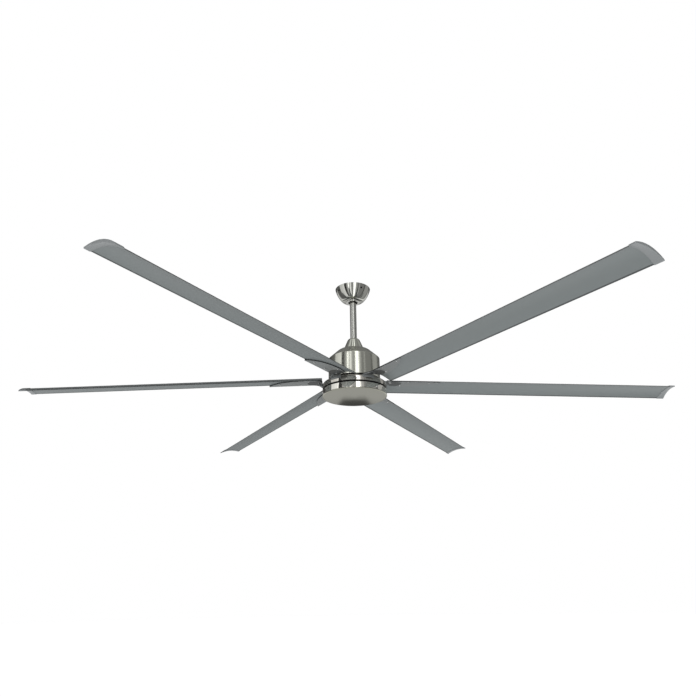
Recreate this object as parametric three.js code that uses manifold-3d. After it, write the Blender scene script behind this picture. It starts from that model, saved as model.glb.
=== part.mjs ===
// Ceiling fan with six long arched blades on a short downrod, in millimetres, with +Z up.
// The origin is on the ceiling, at the centre of the hanger bracket's flat top, and the fan hangs below it.
import * as THREE from "three";
import { mergeVertices } from "three/addons/utils/BufferGeometryUtils.js";
import Module from "manifold-3d";

const wasm = await Module();
wasm.setup();

// Overall size
const sweepRadius = 1270;
const bladeCount = 6;
const rodLength = 254;

// Clearances
const fitGap = 0.3;
const slideGap = 0.5;
const screwGap = 0.3;
const runGap = 4;
const overrun = 6;

// Hanger bracket
const bracketSheet = 2.5;
const bracketRim = 23;
const ceilingSlotWidth = 6.5;
const ceilingSlotLength = 18;
const ceilingSlotOffset = 50;
const wireHoleRadius = 8;
const wireHoleOffset = 29;
const legWidth = 32;
const saddleRadius = 36;

// Hanger ball, its liner and its pin
const ballRadius = 24;
const ballDrop = 32;
const ballTopRise = 7;
const linerWall = 2.2;
const saddleWall = 2.5;
const seatTopAngle = 95;
const seatLowAngle = 138;
const linerInset = 1.5;
const ballPinRadius = 3;
const ballPinInset = 1.5;

// Downrod
const rodRadius = 13.35;
const rodWall = 2.9;
const rodTopRise = 14;
const cableRadius = 3.1;
const cableRise = 5;

// Canopy
const canopyRadius = 72.5;
const canopyWall = 1.2;
const canopyShadowGap = 1;
const canopyDepth = 57.6;
const canopyFloorRadius = 27;
const canopyHoleRadius = 25;
const canopyFullness = 29.9;
const canopyWaist = 64.7;
const canopyHeelDrop = 48.6;
const canopyHeelRadius = 47.2;
const canopySoleDrop = 55.2;
const canopySoleRadius = 41;
const trimRadius = 28.5;
const trimBore = 19.7;
const trimThickness = 2.2;
const trimNeckWall = 2.4;
const trimNeckRise = 3;
const canopyScrewDrop = 18;
const canopyScrewAngle = 30;
const canopyScrewCount = 4;
const screwRadius = 2;
const screwHeadRadius = 4;
const screwHeadHeight = 2.2;
const canopyScrewLength = 9;

// Driver and terminal block under the bracket plate
const driverDepth = 15;
const driverWidth = 42;
const driverHeight = 24;
const driverFlangeDrop = 3;
const terminalDepth = 12;
const terminalWidth = 30;
const terminalHeight = 13;
const terminalPitch = 9;

// Coupling between downrod and motor
const couplingRadius = 19;
const socketDepth = 38;
const couplingWeb = 8;
const couplingBore = 6.5;
const shaftSocketDepth = 17;
const flangeRadius = 34;
const flangeThickness = 5;
const rodPinRise = 22;
const rodPinRadius = 3;
const rodPinTail = 6;
const pinHeadRadius = 5;
const pinHeadHeight = 2.5;
const clipWire = 0.9;
const clipLength = 15;
const setScrewRise = 32;
const setScrewRadius = 3;
const setScrewProud = 2;
const hexSocketRadius = 1.6;
const hexSocketDepth = 3;

// Bell-shaped coupling cover
const coverBaseRadius = 42;
const coverHeight = 49.8;
const coverLip = 2;
const coverWaistRadius = 36.2;
const coverWaistRise = 16.8;
const coverNeckRadius = 26.3;
const coverNeckRise = 40;
const coverCrownRadius = 22.8;
const coverWall = 1.5;

// Motor housing
const housingRadius = 102.5;
const housingHeight = 130;
const housingWall = 2;
const housingDrop = 3.5;
const shoulderHeight = 39.4;
const shoulderTopRadius = 60;
const shoulderRounding = 9;

// Motor shaft, bearings and stator
const shaftRadius = 10;
const shaftTail = 12;
const bearingRadius = 21;
const bearingWidth = 12;
const statorBore = 24;
const statorStack = 40;
const slotCount = 12;
const slotTopDepth = 5;
const coreBackShare = 0.346;
const slotMouth = 3;
const toothShare = 0.5457;
const slotLiner = 0.6;
const endTurn = 8;
const hubCollar = 4;
const hubCollarRadius = 32;
const boardRadius = 46;
const boardThickness = 1.6;
const boardPartHeight = 9;
const boardPartRadius = 6;
const boardPartCount = 3;
const spacerWall = 4;

// Rotor shells and magnets
const shellClearance = 10.7;
const airGap = 1.2;
const magnetThickness = 5.8;
const magnetOverhang = 3;
const shellWall = 6.5;
const shellPlate = 4.5;
const shellInset = 5;
const turnClearance = 3.5;
const bossWall = 4.5;
const bearingLip = 2.5;
const ventRadius = 8;
const ventCount = 6;
const ventSides = 6;
const skirtRadius = 66;
const skirtWall = 6;
const hubFlangeThickness = 5;
const hubFlangeInset = 1.5;

// Blade ring
const ringInset = 1;
const ringHeight = 25;
const ringShoulder = 10;
const ringDrop = 10.5;
const rimWidth = 26;
const webThickness = 6;
const webDrop = 5;
const rimWall = 4.5;
const rimGrooveDepth = 9;

// Bottom band, dish and the plate that carries them
const bandRadius = 127;
const bandWall = 1.8;
const bandHeight = 23;
const dishLip = 0.8;
const dishDepth = 3.4;
const dishEdge = 9;
const dishDome = 0.8;
const dishUpstand = 4;
const panSheet = 2;
const panDrop = 6;
const panRim = 12;
const nutRadius = 16;
const nutHeight = 8;
const capScrewCount = 3;
const capScrewAngle = -50;
const capScrewLength = 7;

// Blades
const chord = 104.4;
const pitchAngle = 10.47;
const droopAngle = 1.66;
const bladeDatumDrop = 12;
const leadOffset = -17;
const leadRise = 22;
const rootGap = 1.2;
const camberLow = 9.5;
const camberHigh = 13.9;
const bladeEdge = 1.6;
const bladeSkin = 1.2;
const bladeWeb = 3.6;
const cellEndInset = 12.5;
const cellCount = 3;

// Tip caps
const capWall = 1.2;
const capEnd = 2.5;
const capLengthLead = 19;
const capLengthTrail = 27;

// Blade arms
const armThickness = 5;
const armReach = 337;
const armFootLead = -37;
const armFootTrail = 10;
const armFootDepth = 22;
const armFootProud = 2;
const armNeckGap = 6;
const armNeckRun = 36;
const armHeelRun = 12;
const armHeelWidth = 49;
const armBellyRun = 56;
const armBellyWidth = 55;
const armScrewStationShares = [0.19, 0.19, 0.5, 0.84];
const armScrewWidthShares = [0.14, 0.44, 0.24, 0.14];
const armScrewHeadRadius = 4;
const armScrewHeadHeight = 2.2;
const headSides = 6;

// How finely round forms are divided
const fineSteps = 24;
const roundSteps = 20;
const smallSteps = 8;
const curveSteps = 4;
const innerSteps = 2;

// Levels that follow from the sizes above
const ballLevel = -ballDrop;
const rodTop = ballLevel + rodTopRise;
const rodBottom = rodTop - rodLength;
const couplingTop = rodBottom + socketDepth;
const webTop = rodBottom - fitGap;
const webBottom = webTop - couplingWeb;
const couplingBottom = webBottom - shaftSocketDepth;
const shoulderTop = rodBottom - housingDrop;
const housingBottom = shoulderTop - housingHeight;
const ringTop = housingBottom - ringDrop;
const ringBottom = ringTop - ringHeight;
const bandTop = ringBottom - runGap;
const bandBottom = bandTop - bandHeight;
const panTop = bandTop - panDrop;
const panBottom = panTop - panSheet;
const shaftTop = webBottom - fitGap;
const shaftBottom = panBottom - shaftTail;
const bladeDatum = ringTop - bladeDatumDrop;
const webLevel = ringTop - webDrop;
const hubFlangeBottom = webLevel + fitGap;
const hubFlangeTop = hubFlangeBottom + hubFlangeThickness;
const lowerBearingBottom = hubFlangeBottom + bearingLip;
const lowerBearingTop = lowerBearingBottom + bearingWidth;
const lowerPlateBottom = lowerBearingTop + fitGap;
const lowerPlateTop = lowerPlateBottom + shellPlate;
const windingBottom = lowerPlateTop + turnClearance;
const statorBottom = windingBottom + endTurn;
const statorTop = statorBottom + statorStack;
const statorMiddle = (statorBottom + statorTop) / 2;
const windingTop = statorTop + endTurn;
const upperPlateBottom = windingTop + turnClearance;
const upperPlateTop = upperPlateBottom + shellPlate;
const upperBearingBottom = upperPlateBottom + bearingLip;
const upperBearingTop = upperBearingBottom + bearingWidth;

// Radii that follow from the sizes above
const rodBore = rodRadius - rodWall;
const saddleBore = ballRadius + slideGap + linerWall + slideGap;
const shellRadius = housingRadius - housingWall - shellClearance;
const shellBore = shellRadius - shellWall;
const magnetRadius = shellBore - fitGap;
const magnetBore = magnetRadius - magnetThickness;
const statorRadius = magnetBore - airGap;
const slotBottomRadius = statorBore + (statorRadius - statorBore) * coreBackShare;
const toothWidth = (2 * Math.PI * slotBottomRadius * toothShare) / slotCount;
const ringRadius = bandRadius - ringInset;
const rimInnerRadius = ringRadius - rimWidth;
const armFootInner = ringRadius - armFootDepth;
const armNeckEnd = ringRadius + armNeckGap;
const armNeckStart = armNeckEnd + armNeckRun;
const armHeelStation = armNeckEnd + armHeelRun;
const armBellyStation = armNeckEnd + armBellyRun;
const bladeRoot = ringRadius + rootGap;
const flatShare = Math.cos(Math.PI / fineSteps);
const bracketRadius = (canopyRadiusAt(-bracketRim) - canopyWall) * flatShare - fitGap;
const blade = bladeFrame();

// A geometry's closed surface as a solid that can be cut and joined
function solidOf(geometry) {
  const bare = geometry.clone();
  bare.deleteAttribute("normal");
  bare.deleteAttribute("uv");
  const merged = mergeVertices(bare);
  const mesh = new wasm.Mesh({
    numProp: 3,
    vertProperties: merged.attributes.position.array,
    triVerts: new Uint32Array(merged.index.array),
  });
  return new wasm.Manifold(mesh);
}

// A solid's surface as a geometry
function geometryOf(solid) {
  const mesh = solid.getMesh();
  const geometry = new THREE.BufferGeometry();
  geometry.setAttribute("position", new THREE.BufferAttribute(mesh.vertProperties, mesh.numProp));
  geometry.setIndex(new THREE.BufferAttribute(mesh.triVerts, 1));
  geometry.computeVertexNormals();
  return geometry;
}

function joined(...geometries) {
  return geometryOf(geometries.map(solidOf).reduce((whole, piece) => whole.add(piece)));
}

function cut(geometry, ...tools) {
  return geometryOf(tools.map(solidOf).reduce((rest, tool) => rest.subtract(tool), solidOf(geometry)));
}

function common(geometry, other) {
  return geometryOf(solidOf(geometry).intersect(solidOf(other)));
}

// A body turned about Z from [radius, level] points, in either direction
function turned(profile, steps = fineSteps) {
  const startsOnAxis = profile[0][0] === 0;
  const loop = startsOnAxis ? profile : [...profile, profile[0]];
  const doubleArea = loop.reduce((sum, [radius, level], i) => {
    const [nextRadius, nextLevel] = loop[(i + 1) % loop.length];
    return sum + radius * nextLevel - nextRadius * level;
  }, 0);
  const points = loop.map(([radius, level]) => new THREE.Vector2(radius, level));
  if (doubleArea < 0) points.reverse();
  return new THREE.LatheGeometry(points, steps).rotateX(Math.PI / 2);
}

// A plain ring between two radii and two levels
function ring(inner, outer, low, high, steps = fineSteps) {
  return turned([[inner, low], [outer, low], [outer, high], [inner, high]], steps);
}

// A round bar along Z between two levels
function bar(radius, low, high, steps = smallSteps) {
  return turned([[0, low], [radius, low], [radius, high], [0, high]], steps);
}

function block(minX, maxX, minY, maxY, minZ, maxZ) {
  const box = new THREE.BoxGeometry(maxX - minX, maxY - minY, maxZ - minZ);
  return box.translate((minX + maxX) / 2, (minY + maxY) / 2, (minZ + maxZ) / 2);
}

// An outline of [x, y] points raised from one level to another
function prism(outline, low, high) {
  const shape = new THREE.Shape(outline.map(([x, y]) => new THREE.Vector2(x, y)));
  return new THREE.ExtrudeGeometry(shape, { depth: high - low, bevelEnabled: false }).translate(0, 0, low);
}

// Points along a curve from one [x, y] point to another, drawn towards a third
function bend(from, towards, to, steps = innerSteps) {
  const curve = new THREE.QuadraticBezierCurve(
    new THREE.Vector2(...from),
    new THREE.Vector2(...towards),
    new THREE.Vector2(...to),
  );
  return curve.getPoints(steps).map((point) => [point.x, point.y]);
}

// Points on a sphere about the ball's centre, from one angle off the top to another
function sphereArc(radius, fromAngle, toAngle) {
  const steps = 2 * innerSteps;
  return Array.from({ length: steps + 1 }, (_, i) => {
    const angle = THREE.MathUtils.degToRad(fromAngle + ((toAngle - fromAngle) * i) / steps);
    return [radius * Math.sin(angle), ballLevel + radius * Math.cos(angle)];
  });
}

// The same geometry, turned about Z by degrees
function turnedTo(geometry, degrees) {
  return geometry.clone().rotateZ(THREE.MathUtils.degToRad(degrees));
}

function copiesAround(geometry, count, first = 0) {
  return Array.from({ length: count }, (_, i) => turnedTo(geometry, first + (360 * i) / count));
}

// A bar that lies along +X at a level, from one distance off the axis to another
function radialBar(radius, from, to, level, steps = smallSteps) {
  return bar(radius, from, to, steps).rotateY(Math.PI / 2).translate(0, 0, level);
}

// A round-ended slot through the plate, long in the tangent direction
function slotTool(length, width, offset) {
  const straight = (length - width) / 2;
  const middle = block(-straight, straight, offset - width / 2, offset + width / 2, -overrun, overrun);
  const ends = [-straight, straight].map((x) => bar(width / 2, -overrun, overrun).translate(x, offset, 0));
  return joined(middle, ...ends);
}

// Screw with a domed head, along +X, its head seated on a wall at a given distance from the axis
function sideScrew(seat, length, level) {
  const shank = [[0, -length], [screwRadius, -length], [screwRadius, 0], [screwHeadRadius, 0]];
  const dome = bend([screwHeadRadius, 0], [screwHeadRadius, screwHeadHeight], [0, screwHeadHeight]);
  const screw = turned([...shank, ...dome.slice(1)], smallSteps);
  return screw.rotateY(Math.PI / 2).translate(seat + fitGap, 0, level);
}

function hangerBracket() {
  const plate = turned([
    [0, -bracketSheet],
    [bracketRadius - bracketSheet, -bracketSheet],
    [bracketRadius - bracketSheet, -bracketRim],
    [bracketRadius, -bracketRim],
    [bracketRadius, 0],
    [0, 0],
  ]);
  const legOuter = saddleRadius;
  const legInner = saddleRadius - bracketSheet;
  const seatTop = ballLevel + saddleBore * Math.cos(THREE.MathUtils.degToRad(seatTopAngle));
  const legs = [-1, 1].map((side) => {
    const low = Math.min(side * legInner, side * legOuter);
    const high = Math.max(side * legInner, side * legOuter);
    return block(low, high, -legWidth / 2, legWidth / 2, seatTop, -bracketSheet / 2);
  });
  const cup = turned([
    ...sphereArc(saddleBore, seatTopAngle, seatLowAngle),
    ...sphereArc(saddleBore + saddleWall, seatTopAngle, seatLowAngle).reverse(),
    [saddleRadius, seatTop],
    [saddleRadius, seatTop + bracketSheet],
    [saddleBore, seatTop + bracketSheet],
  ], roundSteps);
  const doorHalf = rodRadius + slideGap;
  const doorLow = ballLevel - ballRadius - overrun;
  const door = block(-doorHalf, doorHalf, -bracketRadius, 0, doorLow, seatTop + overrun);
  const slots = [ceilingSlotOffset, -ceilingSlotOffset].map((offset) =>
    slotTool(ceilingSlotLength, ceilingSlotWidth, offset));
  const wireHole = bar(wireHoleRadius, -overrun, overrun, smallSteps).translate(0, wireHoleOffset, 0);
  return cut(joined(plate, cut(cup, door), ...legs), ...slots, wireHole, ...canopyScrewHoles());
}

// Nylon liner between the ball and the bracket's saddle
function ballLiner() {
  const inner = ballRadius + slideGap;
  const shell = turned([
    ...sphereArc(inner, seatTopAngle + linerInset, seatLowAngle - linerInset),
    ...sphereArc(inner + linerWall, seatTopAngle + linerInset, seatLowAngle - linerInset).reverse(),
  ], roundSteps);
  const doorHalf = rodRadius + slideGap;
  const low = ballLevel - ballRadius - overrun;
  return cut(shell, block(-doorHalf, doorHalf, -saddleRadius, 0, low, ballLevel + ballRadius));
}

function hangerBall() {
  const bore = rodRadius + fitGap;
  const topAngle = THREE.MathUtils.radToDeg(Math.acos(ballTopRise / ballRadius));
  const lowAngle = 180 - THREE.MathUtils.radToDeg(Math.asin(bore / ballRadius));
  const arc = sphereArc(ballRadius, topAngle, lowAngle);
  const body = turned([[bore, ballLevel + ballTopRise], ...arc], roundSteps);
  const hole = radialBar(ballPinRadius + fitGap, -ballRadius - overrun, ballRadius + overrun, ballLevel);
  return cut(body, hole);
}

function downrod() {
  const tube = ring(rodBore, rodRadius, rodBottom, rodTop, roundSteps);
  const upperHole = radialBar(ballPinRadius + fitGap, -rodRadius - overrun, rodRadius + overrun, ballLevel);
  const pinLevel = rodBottom + rodPinRise;
  const lowerHole = radialBar(rodPinRadius + fitGap, -rodRadius - overrun, rodRadius + overrun, pinLevel);
  return cut(tube, upperHole, lowerHole);
}

// Mains lead inside the rod: it passes beside both cross pins, then runs down the shaft's bore
function supplyCable() {
  const beside = (rodBore + rodPinRadius) / 2;
  const point = (y, z) => new THREE.Vector3(0, y, z);
  const bendTop = rodBottom + rodPinRise - 2 * rodPinRadius;
  const bendMiddle = (bendTop + webTop) / 2;
  const route = new THREE.CurvePath();
  route.add(new THREE.LineCurve3(point(beside, rodTop + cableRise), point(beside, bendTop)));
  route.add(new THREE.CubicBezierCurve3(
    point(beside, bendTop),
    point(beside, bendMiddle),
    point(0, bendMiddle),
    point(0, webTop),
  ));
  route.add(new THREE.LineCurve3(point(0, webTop), point(0, statorMiddle)));
  const section = new THREE.Shape().absarc(0, 0, cableRadius, 0, Math.PI * 2);
  const round = new THREE.Shape(section.getPoints(innerSteps + 2).slice(1));
  return new THREE.ExtrudeGeometry(round, { steps: fineSteps, bevelEnabled: false, extrudePath: route });
}

// The bowl's curve from its rim over its heel to the edge of its floor, drawn inwards by an inset
function canopyCurve(inset) {
  const top = -canopyShadowGap;
  const heel = [canopyHeelRadius - inset / 2, top - canopyHeelDrop + inset];
  const waist = [canopyWaist - inset, top - canopyFullness + inset];
  const sole = [canopySoleRadius - inset / 2, top - canopySoleDrop + inset];
  const upper = bend([canopyRadius - inset, top], waist, heel, curveSteps);
  const lower = bend(heel, sole, [canopyFloorRadius, top - canopyDepth + inset]);
  return [...upper, ...lower.slice(1)];
}

// Radius of the bowl's outer surface at a level
function canopyRadiusAt(level) {
  const curve = canopyCurve(0);
  const i = curve.findIndex(([, z]) => z < level);
  const [[upperRadius, upper], [lowerRadius, lower]] = [curve[i - 1], curve[i]];
  return upperRadius + ((lowerRadius - upperRadius) * (level - upper)) / (lower - upper);
}

function canopy() {
  const floor = -canopyShadowGap - canopyDepth;
  const hole = [[canopyHoleRadius, floor], [canopyHoleRadius, floor + canopyWall]];
  const bowl = turned([...canopyCurve(0), ...hole, ...canopyCurve(canopyWall).reverse()]);
  return cut(bowl, ...canopyScrewHoles());
}

// What lies along +X from the canopy's wall, set square to that wall at the level of its screws
function onCanopyWall(geometry) {
  const upper = canopyRadiusAt(screwHeadRadius - canopyScrewDrop);
  const lower = canopyRadiusAt(-screwHeadRadius - canopyScrewDrop);
  const tilt = Math.atan2(upper - lower, 2 * screwHeadRadius);
  return geometry.rotateY(tilt).translate((upper + lower) / 2, 0, -canopyScrewDrop);
}

// Tools for the holes that the canopy's screws take through its wall and the bracket's rim
function canopyScrewHoles() {
  const hole = radialBar(screwRadius + screwGap, -canopyScrewLength - overrun, overrun, 0);
  return copiesAround(onCanopyWall(hole), canopyScrewCount, canopyScrewAngle);
}

// Collar that finishes the canopy's lower opening, its neck inside the canopy's hole
function canopyTrimRing() {
  const top = -canopyShadowGap - canopyDepth - fitGap;
  const neckOuter = canopyHoleRadius - fitGap;
  const edge = trimThickness / 2;
  return turned([
    [trimBore, top - trimThickness],
    [trimRadius - edge, top - trimThickness],
    [trimRadius, top - edge],
    [trimRadius, top],
    [neckOuter, top],
    [neckOuter, top + trimNeckRise],
    [neckOuter - trimNeckWall, top + trimNeckRise],
    [neckOuter - trimNeckWall, top - edge],
    [trimBore, top - edge],
  ], roundSteps);
}

// Driver box that hangs under the bracket's plate beside one leg, with a flange along its top
function driverModule() {
  const near = saddleRadius + fitGap;
  const top = -bracketSheet - fitGap;
  const half = driverWidth / 2;
  const body = block(near, near + driverDepth, -half, half, top - driverHeight, top - driverFlangeDrop);
  const flange = block(near, near + driverDepth + driverFlangeDrop, -half, half, top - driverFlangeDrop, top);
  const lidEdge = driverFlangeDrop / 2;
  const lid = block(
    near + lidEdge,
    near + driverDepth - lidEdge,
    -half + lidEdge,
    half - lidEdge,
    top - driverHeight - lidEdge,
    top - driverHeight,
  );
  return joined(body, flange, lid);
}

// Terminal block under the plate beside the other leg, with one well for each wire
function terminalBlock() {
  const near = -saddleRadius - fitGap;
  const top = -bracketSheet - fitGap;
  const half = terminalWidth / 2;
  const body = block(near - terminalDepth, near, -half, half, top - terminalHeight, top);
  const wells = [-1, 0, 1].map((i) => {
    const well = bar(terminalPitch / 3, top - terminalHeight - overrun, top - terminalHeight / 2);
    return well.translate(near - terminalDepth / 2, i * terminalPitch, 0);
  });
  return cut(body, ...wells);
}

function motorCoupling() {
  const flangeTop = shoulderTop - housingWall - fitGap;
  const body = turned([
    [couplingBore, webTop],
    [couplingBore, webBottom],
    [shaftRadius + fitGap, webBottom],
    [shaftRadius + fitGap, couplingBottom],
    [couplingRadius, couplingBottom],
    [couplingRadius, flangeTop - flangeThickness],
    [flangeRadius, flangeTop - flangeThickness],
    [flangeRadius, flangeTop],
    [couplingRadius, flangeTop],
    [couplingRadius, couplingTop],
    [rodRadius + fitGap, couplingTop],
    [rodRadius + fitGap, webTop],
  ], roundSteps);
  const reach = couplingRadius + overrun;
  const pinHole = radialBar(rodPinRadius + fitGap, -reach, reach, rodBottom + rodPinRise);
  const screwHole = radialBar(setScrewRadius + screwGap, -reach, reach, rodBottom + setScrewRise);
  return cut(body, pinHole, turnedTo(screwHole, 90));
}

// Clevis pin through coupling and rod, drilled at its tail for the clip
function rodPin() {
  const seat = couplingRadius + fitGap;
  const tail = seat + rodPinTail;
  const pin = turned([
    [0, -seat - pinHeadHeight],
    [pinHeadRadius, -seat - pinHeadHeight],
    [pinHeadRadius, -seat],
    [rodPinRadius, -seat],
    [rodPinRadius, tail],
    [0, tail],
  ], smallSteps);
  const level = rodBottom + rodPinRise;
  const hole = bar(clipWire + fitGap, -rodPinRadius - overrun, rodPinRadius + overrun, smallSteps);
  hole.rotateX(Math.PI / 2).translate(seat + rodPinTail / 2, 0, level);
  return cut(pin.rotateY(Math.PI / 2).translate(0, 0, level), hole);
}

// Hairpin clip: one leg through the pin's hole, the other over the pin's back
function rodPinClip() {
  const x = couplingRadius + fitGap + rodPinTail / 2;
  const level = rodBottom + rodPinRise;
  const rise = rodPinRadius + clipWire + fitGap;
  const half = clipLength / 2;
  const route = new THREE.CurvePath();
  const point = (y, z) => new THREE.Vector3(x, y, level + z);
  route.add(new THREE.LineCurve3(point(-half, 0), point(half, 0)));
  const around = [point(half, 0), point(half + rise, 0), point(half + rise, rise), point(half, rise)];
  route.add(new THREE.CubicBezierCurve3(...around));
  route.add(new THREE.LineCurve3(point(half, rise), point(-half / 2, rise)));
  const section = new THREE.Shape().absarc(0, 0, clipWire, 0, Math.PI * 2);
  const round = new THREE.Shape(section.getPoints(innerSteps + 1).slice(1));
  return new THREE.ExtrudeGeometry(round, { steps: roundSteps / 2, bevelEnabled: false, extrudePath: route });
}

// Socket set screw that bears on the rod
function setScrew() {
  const tip = rodRadius + fitGap;
  const head = couplingRadius + setScrewProud;
  const level = rodBottom + setScrewRise;
  const screw = radialBar(setScrewRadius, tip, head, level);
  const socket = radialBar(hexSocketRadius, head - hexSocketDepth, head + overrun, level, 6);
  return cut(screw, socket);
}

function couplingCover() {
  const base = shoulderTop + fitGap;
  const top = base + coverHeight;
  const bore = rodRadius + slideGap;
  const level = (rise) => base + rise;
  const skirt = bend(
    [coverBaseRadius, level(coverLip)],
    [coverWaistRadius, level(coverWaistRise)],
    [coverNeckRadius, level(coverNeckRise)],
  );
  const crown = bend(
    [coverNeckRadius, level(coverNeckRise)],
    [coverCrownRadius, top],
    [bore + coverWall, top],
  );
  const innerCrown = bend(
    [bore + coverWall, top - coverWall],
    [coverCrownRadius - coverWall, top - coverWall],
    [coverNeckRadius - coverWall, level(coverNeckRise) - coverWall / 2],
  );
  const innerSkirt = bend(
    [coverNeckRadius - coverWall, level(coverNeckRise) - coverWall / 2],
    [coverWaistRadius - coverWall, level(coverWaistRise) - coverWall / 2],
    [coverBaseRadius - coverWall, level(coverLip) - coverWall / 2],
  );
  return turned([
    [coverBaseRadius - coverWall, base],
    [coverBaseRadius, base],
    ...skirt,
    ...crown.slice(1),
    [bore, top],
    [bore, top - coverWall],
    ...innerCrown,
    ...innerSkirt.slice(1),
  ], roundSteps);
}

// The drum's conical shoulder from its crease up to its rounded top edge, drawn inwards by an inset
function shoulderCurve(inset) {
  const [radius, level] = [shoulderTopRadius - inset / 2, shoulderTop - inset];
  const fall = (shoulderRounding * shoulderHeight) / (housingRadius - shoulderTopRadius);
  const crease = [housingRadius - inset, shoulderTop - shoulderHeight - inset / 2];
  const edge = bend(
    [radius + shoulderRounding, level - fall],
    [radius, level],
    [radius - shoulderRounding, level],
  );
  return [crease, ...edge];
}

function motorHousing() {
  const hole = couplingRadius + fitGap;
  return turned([
    [housingRadius - housingWall, housingBottom],
    [housingRadius, housingBottom],
    ...shoulderCurve(0),
    [hole, shoulderTop],
    [hole, shoulderTop - housingWall],
    ...shoulderCurve(housingWall).reverse(),
  ]);
}

function motorShaft() {
  return ring(couplingBore, shaftRadius, shaftBottom, shaftTop, roundSteps);
}

// A shielded ball bearing as one closed ring on the shaft
function bearing(bottom) {
  const bore = shaftRadius + fitGap;
  return ring(bore, bearingRadius, bottom, bottom + bearingWidth, roundSteps);
}

// Tube on the shaft between the lower bearing and the plate that carries the bottom band
function spacerSleeve() {
  const bore = shaftRadius + fitGap;
  return ring(bore, bore + spacerWall, panTop + fitGap, lowerBearingBottom - fitGap, roundSteps);
}

// Sleeve on the shaft that carries the laminated core against its lower collar
function statorHub() {
  const bore = shaftRadius + fitGap;
  const outer = statorBore - fitGap;
  return turned([
    [bore, statorBottom - hubCollar],
    [hubCollarRadius, statorBottom - hubCollar],
    [hubCollarRadius, statorBottom - fitGap],
    [outer, statorBottom - fitGap],
    [outer, statorTop + hubCollar],
    [bore, statorTop + hubCollar],
  ], roundSteps);
}

// A slot between two teeth as [along the radius, across] points, drawn in by a lining
function slotOutline(lining) {
  const outerRadius = statorRadius - slotTopDepth - lining;
  const innerRadius = slotBottomRadius + lining;
  const halfAt = (radius) => (Math.PI * radius) / slotCount - toothWidth / 2 - lining;
  return [
    [innerRadius, -halfAt(innerRadius)],
    [outerRadius, -halfAt(outerRadius)],
    [outerRadius, halfAt(outerRadius)],
    [innerRadius, halfAt(innerRadius)],
  ];
}

// Laminated core: a ring of T-shaped teeth, with one slot between each pair
function statorCore() {
  const body = ring(statorBore, statorRadius, statorBottom, statorTop);
  const slot = prism(slotOutline(0), statorBottom - overrun, statorTop + overrun);
  const mouth = prism(
    [
      [statorRadius - slotTopDepth - overrun, -slotMouth / 2],
      [statorRadius + overrun, -slotMouth / 2],
      [statorRadius + overrun, slotMouth / 2],
      [statorRadius - slotTopDepth - overrun, slotMouth / 2],
    ],
    statorBottom - overrun,
    statorTop + overrun,
  );
  return cut(body, ...copiesAround(joined(slot, mouth), slotCount));
}

// Copper coils: their sides fill the slots, and their end turns make a bulging crown above and below
function statorWindings() {
  const inner = slotBottomRadius + slotLiner;
  const outer = statorRadius - slotTopDepth - slotLiner;
  const crown = (near, far) => {
    const taper = Math.abs(far - near) / 2;
    return turned([[inner, near], [outer, near], [outer - taper, far], [inner + taper, far]], slotCount);
  };
  const side = prism(slotOutline(slotLiner), statorBottom - endTurn / 2, statorTop + endTurn / 2);
  const upper = crown(statorTop + slotLiner, windingTop);
  const lower = crown(statorBottom - slotLiner, windingBottom);
  return joined(upper, lower, ...copiesAround(side, slotCount));
}

// Round control board on the shaft under the coupling, with capacitors hanging from it
function controlBoard() {
  const top = couplingBottom - fitGap;
  const low = top - boardThickness;
  const board = ring(shaftRadius + fitGap, boardRadius, low, top, roundSteps);
  const can = bar(boardPartRadius, low - boardPartHeight, top - boardThickness / 2);
  const offset = boardRadius - boardPartRadius - boardThickness;
  return joined(board, ...copiesAround(can.translate(offset, 0, 0), boardPartCount));
}

// Upper half of the rotor's body, with the upper bearing's boss and vents in its plate
function rotorUpperShell() {
  const boss = bearingRadius + fitGap;
  const ledge = statorTop + magnetOverhang + fitGap;
  const split = statorMiddle + fitGap / 2;
  const bossTop = upperBearingTop - bearingLip;
  const body = turned([
    [boss - bearingLip, upperPlateBottom],
    [shellBore - shellInset, upperPlateBottom],
    [shellBore - shellInset, ledge],
    [shellBore, ledge],
    [shellBore, split],
    [shellRadius, split],
    [shellRadius, upperPlateTop - shellInset],
    [shellRadius - shellInset, upperPlateTop],
    [boss + bossWall, upperPlateTop],
    [boss + bossWall, bossTop],
    [boss, bossTop],
    [boss, upperBearingBottom - fitGap],
    [boss - bearingLip, upperBearingBottom - fitGap],
  ], roundSteps);
  return cut(body, ...vents(upperPlateBottom, upperPlateTop));
}

// Lower half of the rotor's body, with the lower bearing's boss and the flange that carries the blade ring
function rotorLowerShell() {
  const boss = bearingRadius + fitGap;
  const ledge = statorBottom - magnetOverhang - fitGap;
  const split = statorMiddle - fitGap / 2;
  const flangeEdge = rimInnerRadius - hubFlangeInset;
  const body = turned([
    [boss - bearingLip, lowerPlateTop],
    [shellBore - shellInset, lowerPlateTop],
    [shellBore - shellInset, ledge],
    [shellBore, ledge],
    [shellBore, split],
    [shellRadius, split],
    [shellRadius, lowerPlateBottom],
    [skirtRadius, lowerPlateBottom],
    [skirtRadius, hubFlangeTop],
    [flangeEdge, hubFlangeTop],
    [flangeEdge, hubFlangeBottom],
    [skirtRadius - skirtWall, hubFlangeBottom],
    [skirtRadius - skirtWall, lowerPlateBottom],
    [boss + bossWall, lowerPlateBottom],
    [boss + bossWall, lowerBearingBottom],
    [boss, lowerBearingBottom],
    [boss, lowerPlateBottom],
    [boss - bearingLip, lowerPlateBottom],
  ], roundSteps);
  return cut(body, ...vents(lowerPlateBottom, lowerPlateTop));
}

// Round vents halfway across a shell's plate
function vents(low, high) {
  const inner = bearingRadius + fitGap + bossWall;
  const vent = bar(ventRadius, low - overrun / 2, high + overrun / 2, ventSides);
  return copiesAround(vent.translate((inner + skirtRadius - skirtWall) / 2, 0, 0), ventCount);
}

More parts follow.
